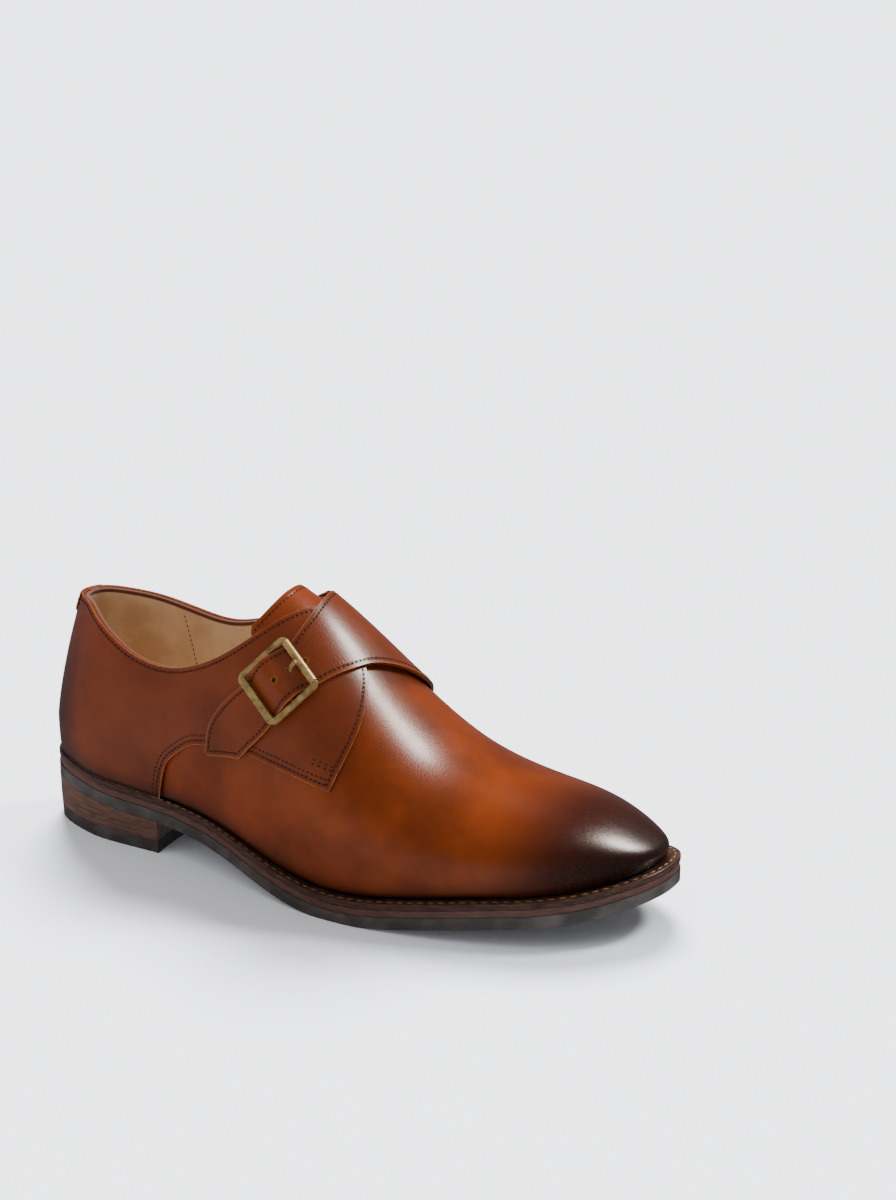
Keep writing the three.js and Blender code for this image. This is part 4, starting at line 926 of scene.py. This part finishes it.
# ---- Stitching ----
# Lockstitch in waxed thread, dark on the quarters, the strap and the tongue, about 2 mm to a stitch.
# Every stitch is its own bead of thread, laid along the seam by the node tree.
def stitch_tree(name, thread):
    """Geometry nodes: beads of thread at a pitch along every line of the mesh, up turned to its 'up'."""
    tree = bpy.data.node_groups.new(name, 'GeometryNodeTree')
    sockets = []
    tree.interface.new_socket("Geometry", in_out='INPUT', socket_type='NodeSocketGeometry')
    for label in ("Pitch", "Length", "Width", "Height"):
        socket = tree.interface.new_socket(label, in_out='INPUT', socket_type='NodeSocketFloat')
        sockets.append(socket.identifier)
    tree.interface.new_socket("Geometry", in_out='OUTPUT', socket_type='NodeSocketGeometry')
    given = add_node(tree, "NodeGroupInput").outputs
    curve = add_node(tree, "GeometryNodeMeshToCurve", links={"Mesh": given["Geometry"]}).outputs[0]
    spaced = add_node(tree, "GeometryNodeResampleCurve", {"mode": 'LENGTH'},
                      {"Curve": curve, "Length": given["Pitch"]}).outputs[0]
    along = add_node(tree, "FunctionNodeAlignRotationToVector", {"axis": 'X'},
                     {"Vector": add_node(tree, "GeometryNodeInputTangent").outputs[0]}).outputs[0]
    facing = add_node(tree, "GeometryNodeInputNamedAttribute", {"data_type": 'FLOAT_VECTOR'}, {"Name": "up"})
    turn = add_node(tree, "FunctionNodeAlignRotationToVector", {"axis": 'Z', "pivot_axis": 'X'},
                    {"Rotation": along, "Vector": facing.outputs[0]}).outputs[0]
    bead = add_node(tree, "GeometryNodeMeshUVSphere", links={"Segments": 8, "Rings": 6, "Radius": 0.5})
    size = add_node(tree, "ShaderNodeCombineXYZ", links={"X": given["Width"], "Y": given["Height"],
                                                         "Z": given["Length"]}).outputs[0]
    lying = add_node(tree, "GeometryNodeTransform", links={"Geometry": bead.outputs[0], "Scale": size}).outputs[0]
    for quarter_turn in ((0, math.pi / 2, 0), (math.pi / 2, 0, 0)):
        lying = add_node(tree, "GeometryNodeTransform", links={"Geometry": lying,
                                                               "Rotation": quarter_turn}).outputs[0]
    beads = add_node(tree, "GeometryNodeInstanceOnPoints", links={"Points": spaced, "Instance": lying,
                                                                  "Rotation": turn}).outputs[0]
    solid = add_node(tree, "GeometryNodeRealizeInstances", links={"Geometry": beads}).outputs[0]
    smooth = add_node(tree, "GeometryNodeSetShadeSmooth", links={"Geometry": solid}).outputs[0]
    painted = add_node(tree, "GeometryNodeSetMaterial", links={"Geometry": smooth, "Material": thread})
    add_node(tree, "NodeGroupOutput", links={"Geometry": painted.outputs[0]})
    return tree, sockets


def thread_material(name, light, dark):
    """Waxed polyester thread, three plies twisted: the twist shows as fine slanting bands."""
    material, tree, surface, place = new_material(name)
    plies = add_node(tree, "ShaderNodeTexWave", {"bands_direction": 'DIAGONAL'},
                     {"Vector": place, "Scale": 900.0, "Distortion": 1.0}, "plies, 0.35 mm").outputs["Fac"]
    fill(tree, surface, {"Base Color": mix(tree, plies, linear(dark), linear(light)),
                         "Normal": bumped(tree, plies, 0.3, 0.1), "Roughness": 0.55})
    return material


def sew(name, lines, thread, sizes):
    """Stitches along lines of (points in mm, outward directions). sizes are pitch, length, width, height."""
    points, edges, ups = [], [], []
    for line, outward in lines:
        edges += [(len(points) + i, len(points) + i + 1) for i in range(len(line) - 1)]
        points += (line * MM).tolist()
        ups.append(outward)
    mesh = bpy.data.meshes.new(name)
    mesh.from_pydata(points, edges, [])
    layer = mesh.attributes.new("up", 'FLOAT_VECTOR', 'POINT')
    layer.data.foreach_set("vector", np.concatenate(ups).ravel().astype(np.float32))
    seam = bpy.data.objects.new(name, mesh)
    scene.collection.objects.link(seam)
    tree, sockets = stitch_tree(name + "_tree", thread)
    modifier = seam.modifiers.new("stitches", 'NODES')
    modifier.node_group = tree
    for identifier, size in zip(sockets, sizes):
        modifier[identifier] = size * MM
    bpy.context.view_layer.update()
    shape = bpy.data.meshes.new_from_object(seam.evaluated_get(bpy.context.evaluated_depsgraph_get()))
    seam.modifiers.clear()
    seam.data = shape
    shape.name = name
    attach(seam, "root")


LINE_SPACING = 0.8


def inset_line(path, inner, distance, lift, trim=(0.0, 0.0)):
    """A line on the last's surface at a distance in mm from a path of (along, girth), on the side of
    inner, with trims in mm off its ends. Gives points and outward directions."""
    spread = 0.002
    along, girth = path.T
    here = last_point(along, girth)
    aside = np.cross(last_normal(along, girth), np.gradient(here, axis=0))
    aside /= np.linalg.norm(aside, axis=1, keepdims=True)
    inward = last_point(inner[:, 0], inner[:, 1]) - here
    aside *= np.sign((aside * inward).sum(1))[:, None] * distance
    by_along = (last_point(along + spread, girth) - last_point(along - spread, girth)) / (2 * spread)
    high, low = np.minimum(girth + spread, 1), np.maximum(girth - spread, -1)
    by_girth = (last_point(along, high) - last_point(along, low)) / (high - low)[:, None]
    aa, gg, ag = (by_along ** 2).sum(1), (by_girth ** 2).sum(1), (by_along * by_girth).sum(1)
    ra, rg = (by_along * aside).sum(1), (by_girth * aside).sum(1)
    det = aa * gg - ag * ag
    along, girth = along + (gg * ra - ag * rg) / det, girth + (aa * rg - ag * ra) / det
    points = skin(along, girth, lift)
    length = run_length(points)
    wanted = np.arange(trim[0], length[-1] - trim[1], LINE_SPACING)
    return read_off(points, length, wanted), read_off(last_normal(along, girth), length, wanted)


def edge_lines(edges, rows, low, distances, trims):
    """Stitch lines along the low or the upper edge of a panel between two rows of its table."""
    part = edges[rows[0] * PANEL_STEPS:rows[1] * PANEL_STEPS + 1]
    ends = (part[:, 0:2], part[:, 2:4])
    path, inner = ends if low else ends[::-1]
    return [inset_line(path, inner, distance, part[:, 4] + QUARTER_LEATHER, trims) for distance in distances]


ROW_ONE, ROW_TWO = STITCH_INSET, 4.3
quarter_seams = (
    edge_lines(lateral_edges, (0, 19), False, [ROW_ONE], (2.5, 2.0))
    + edge_lines(lateral_edges, (7, 15), True, [ROW_ONE, ROW_TWO], (2.0, 2.5))
    + edge_lines(lateral_edges, (15, 19), True, [ROW_ONE], (2.5, 0.0))
    + edge_lines(strap_edges, (0, 31), False, [ROW_ONE], (2.5, 1.0))
    + edge_lines(strap_edges, (31, 34), False, [ROW_ONE], (1.5, 2.5))
    + edge_lines(strap_edges, (7, 15), True, [ROW_ONE, ROW_TWO], (2.0, 2.5))
    + edge_lines(strap_edges, (15, 31), True, [ROW_ONE], (2.5, 2.5))
    + edge_lines(strap_edges, (31, 34), True, [ROW_ONE], (2.0, 2.5)))
BAR_TACKS = [(((0.533, -0.523), (0.560, -0.508)), -1), (((0.520, 0.500), (0.545, 0.490)), 1)]
for ((a0, g0), (a1, g1)), side in BAR_TACKS:
    t = np.linspace(0, 1, 12)[:, None]
    path = np.array([[a0, g0]]) * (1 - t) + np.array([[a1, g1]]) * t
    inner = path + np.array([[0, 0.1 * side]])
    for distance in (0.01, 1.7):
        quarter_seams.append(inset_line(path, inner, distance, np.full(12, SKIN_GAP + QUARTER_LEATHER)))
dark_thread = thread_material("dark_waxed_thread", "#1a0a06", "#0c0503")
DARK_STITCH = (2.2, 1.3, 0.72, 0.5)
sew("stitches_quarters", quarter_seams, dark_thread, DARK_STITCH)

TONGUE_SEAM_INSET = 3.0
first = TONGUE_ROWS[0, 0]
girth = float(tongue_reach(first + 0.004)) * np.linspace(-0.93, 0.93, 60)
path = np.stack([first - TONGUE_TOP_CURVE * girth ** 2, girth], 1)
tongue_line = inset_line(path, path + (0.05, 0), TONGUE_SEAM_INSET, np.full(60, tongue_face))
sew("stitches_tongue", [tongue_line], dark_thread, DARK_STITCH)

lining_seams = []
for side in (-1, 1):
    girth = np.linspace(0.475 if side > 0 else 0.50, 0.68, 40)
    path = np.stack([0.178 + 0.06 * (girth - 0.43), side * girth], 1)
    points, outward = inset_line(path, path + (0.1, 0), 0.01, np.full(40, -UPPER_WALL - 0.05), (2.0, 0.0))
    lining_seams.append((points, -outward))
seam_thread = thread_material("tan_lining_thread", "#6a4526", "#3c2412")
sew("stitches_lining", lining_seams, seam_thread, (2.3, 1.5, 0.6, 0.45))

strip_line = []
for turn in (-1, 1):
    girth = np.linspace(0.345, 0.63, 50)
    reach = strip_reach(girth) * turn
    path = np.stack([np.abs(reach), girth * np.where(reach < 0, -1, 1)], 1)
    strip_line.append(inset_line(path, np.stack([0 * girth, path[:, 1]], 1), 0.9,
                                 np.full(50, strip_face), (2.5, 1.0)))
sew("stitches_back_strip", strip_line, dark_thread, DARK_STITCH)

welt_path = welt_line(lambda m: m * 0.62, -0.06)
start = np.argmax(welt_path[:SOLE_ROWS + 1, 0] > BREAST_AT - 4)
stop = len(welt_path) - np.argmax(welt_path[::-1][:SOLE_ROWS, 0] > BREAST_AT - 4)
welt_path = welt_path[start:stop]
welt_thread = thread_material("natural_welt_thread", "#8f6e4a", "#5c442c")
welt_up = np.tile([0.0, 0.0, 1.0], (len(welt_path), 1))
sew("stitches_welt", [(welt_path, welt_up)], welt_thread, (4.6, 2.9, 0.75, 0.5))

# ---- Buckle ----
# A square cast brass frame, antiqued dark and polished back on its faces, with a plain roller on the
# instep side and a flat prong hinged on the centre bar. A folded leather tab holds it to the quarter.
BUCKLE_WIDTH, BUCKLE_LENGTH, BUCKLE_CORNER, ARM_WIDTH, TAIL_BAR_WIDTH = 28.6, 28.6, 3.6, 2.4, 3.2
INNER_CORNER, FRAME_THICKNESS, ROLLER_RADIUS = 1.2, 2.4, 1.75
PRONG_WIDTH, PRONG_THICKNESS = 2.2, 1.1
TAB_WIDTH, TAB_LENGTH = 15, 5.8
half_width, half_length = BUCKLE_WIDTH / 2, BUCKLE_LENGTH / 2
roller_y = half_length - ROLLER_RADIUS


def antique_brass(name):
    """Cast brass, chemically darkened and polished back, which leaves brown in its hollows; here the
    brown stain lies in random patches over olive gold.
    """
    material, tree, surface, place = new_material(name)
    stain = noise(tree, place, 260.0, 4.0, 0.6, "stain, 4 mm")
    colour = mix(tree, ramp(tree, stain, 0.35, 0.80), linear("#dab676"), linear("#8e6d3e"), "patina")
    scratch = noise(tree, place, 2200.0, 2.0, label="fine scratches")
    fill(tree, surface, {"Base Color": colour, "Normal": bumped(tree, scratch, 0.12, 0.1),
                         "Roughness": spread(tree, stain, 0.24, 0.42), "Metallic": 0.8})
    return material


def arc_points(x, y, radius, first, final, count=10):
    return [(x + radius * math.cos(a), y + radius * math.sin(a)) for a in np.linspace(first, final, count)]


def closed_mesh(work, name):
    """The work as a mesh with its poles welded and its faces outward."""
    bmesh.ops.remove_doubles(work, verts=work.verts, dist=1e-5)
    bmesh.ops.dissolve_degenerate(work, dist=1e-5, edges=work.edges)
    bmesh.ops.recalc_face_normals(work, faces=work.faces)
    mesh = bpy.data.meshes.new(name)
    work.to_mesh(mesh)
    work.free()
    return mesh


def extruded(outline, low, high):
    """Flat outline in buckle mm, as a closed block between two heights."""
    work = bmesh.new()
    face = work.faces.new([work.verts.new((x, y, low)) for x, y in outline])
    lifted = bmesh.ops.extrude_face_region(work, geom=[face])["geom"]
    moving = [item for item in lifted if isinstance(item, bmesh.types.BMVert)]
    bmesh.ops.translate(work, verts=moving, vec=(0, 0, high - low))
    return closed_mesh(work, "block")


def swept(rings, looped):
    """Closed surface through rings of points: looped joins the last ring to the first, or both are capped."""
    work = bmesh.new()
    rings = [[work.verts.new(point) for point in ring] for ring in rings]
    for one, two in zip(rings, rings[1:] + rings[:1] if looped else rings[1:]):
        for i in range(len(one)):
            work.faces.new((one[i - 1], one[i], two[i], two[i - 1]))
    if not looped:
        work.faces.new(rings[0][::-1])
        work.faces.new(rings[-1])
    return closed_mesh(work, "swept")


def turned(profile, y, count=40):
    """A profile of (radius, x) turned round a line along x at height 0, closed on itself."""
    angles = np.linspace(0, 2 * np.pi, count, endpoint=False)
    return swept([[(x, y + r * math.cos(a), r * math.sin(a)) for r, x in profile] for a in angles], True)


def sleeve(hole, radius, half, ease):
    """Profile of a sleeve with eased ends."""
    return [(hole, -half), (radius - ease, -half), (radius, -half + ease),
            (radius, half - ease), (radius - ease, half), (hole, half)]


def buckle_piece(name, node, meshes, material, slot, **rounding):
    """Puts meshes in buckle mm on the shoe and finishes them as one piece."""
    for mesh in meshes:
        mesh.transform(on_buckle)
    finish_piece(name, meshes, material, slot, node, weld=1e-7, **rounding)


quarter = math.pi / 2
w, l, c, k = half_width, half_length, BUCKLE_CORNER, INNER_CORNER
inner_w, inner_low = half_width - ARM_WIDTH, -half_length + TAIL_BAR_WIDTH
arm_top = math.acos((inner_w - (w - c)) / c)
outline = (arc_points(w - c, l - c, c, arm_top, 0) + arc_points(w - c, -l + c, c, 0, -quarter)
           + arc_points(-w + c, -l + c, c, -quarter, -2 * quarter)
           + arc_points(-w + c, l - c, c, 2 * quarter, 2 * quarter - arm_top)
           + arc_points(-inner_w + k, inner_low + k, k, 2 * quarter, 3 * quarter, 6)
           + arc_points(inner_w - k, inner_low + k, k, -quarter, 0, 6))
brass = antique_brass("antiqued_brass")
rod_half = (BUCKLE_WIDTH - ARM_WIDTH) / 2
rods = [turned([(0, -rod_half), (ROD_RADIUS, -rod_half), (ROD_RADIUS, rod_half), (0, rod_half)], y, 24)
        for y in (0, roller_y)]
frame_block = extruded(outline, -FRAME_THICKNESS / 2, FRAME_THICKNESS / 2)
buckle_piece("buckle_square", "buckle_frame", [frame_block, *rods], brass, "brass", bevel=0.6, segments=4)
bore = ROD_RADIUS + RUNNING_GAP
roller = turned(sleeve(bore, ROLLER_RADIUS, inner_w - PIECE_GAP, 0.35), roller_y)
buckle_piece("buckle_sleeve", "buckle_roller", [roller], brass, "brass", flat_angle=40)

prong_top = ROLLER_RADIUS + PRONG_THICKNESS / 2 + 3 * RUNNING_GAP
PRONG_LINE = np.array([[0.11, 0.0], [0.32, -0.24], [0.48, -0.24], [0.605, 0.14],
                       [0.715, 0.62], [0.845, 0.965], [1.0, 1.0]]) * (roller_y, prong_top)
EYE_WALL = 0.9


def prong_tongue(rows=60, sides=20):
    """The prong's bent tongue, an ellipse swept along its line and rounded at the tip."""
    reach = np.arange(len(PRONG_LINE))
    t = np.linspace(0, len(PRONG_LINE) - 1, rows)
    y, z = smooth_curve(reach, PRONG_LINE[:, 0])(t), smooth_curve(reach, PRONG_LINE[:, 1])(t)
    dy, dz = np.gradient(y), np.gradient(z)
    size = np.hypot(dy, dz)
    tip = np.sqrt(np.clip(1 - np.clip((t - t[-1] + 0.5) / 0.5, 0, 1) ** 2, 0, 1))[:, None]
    angles = np.linspace(0, 2 * np.pi, sides, endpoint=False)[None, :]
    wide = PRONG_WIDTH / 2 * np.cos(angles) * (0.55 + 0.45 * tip) * (tip > 0)
    thick = PRONG_THICKNESS / 2 * np.sin(angles) * tip
    points = [wide, y[:, None] - thick * (dz / size)[:, None], z[:, None] + thick * (dy / size)[:, None]]
    return swept(np.stack(points, -1), False)


eye = turned(sleeve(bore, bore + EYE_WALL, PRONG_WIDTH / 2, 0.3), 0, 32)
buckle_piece("prong", "buckle_prong", [prong_tongue(), eye], brass, "brass")
outer_fold, fold = bore + TAB_LEATHER, math.radians(130)
tab_outline = ([(-TAB_LENGTH, -outer_fold)] + arc_points(0, 0, outer_fold, -quarter, fold, 24)
               + [(-3.2, 2 * TAB_LEATHER - outer_fold), (-TAB_LENGTH, 2 * TAB_LEATHER - outer_fold)])
tab_block = extruded(tab_outline, -TAB_WIDTH / 2, TAB_WIDTH / 2)
tab_block.transform(Matrix(((0, 0, 1, 0), (1, 0, 0, 0), (0, 1, 0, 0), (0, 0, 0, 1))))
buckle_piece("tab", "buckle_tab", [tab_block], red_calf, "quarter_leather", bevel=0.15)
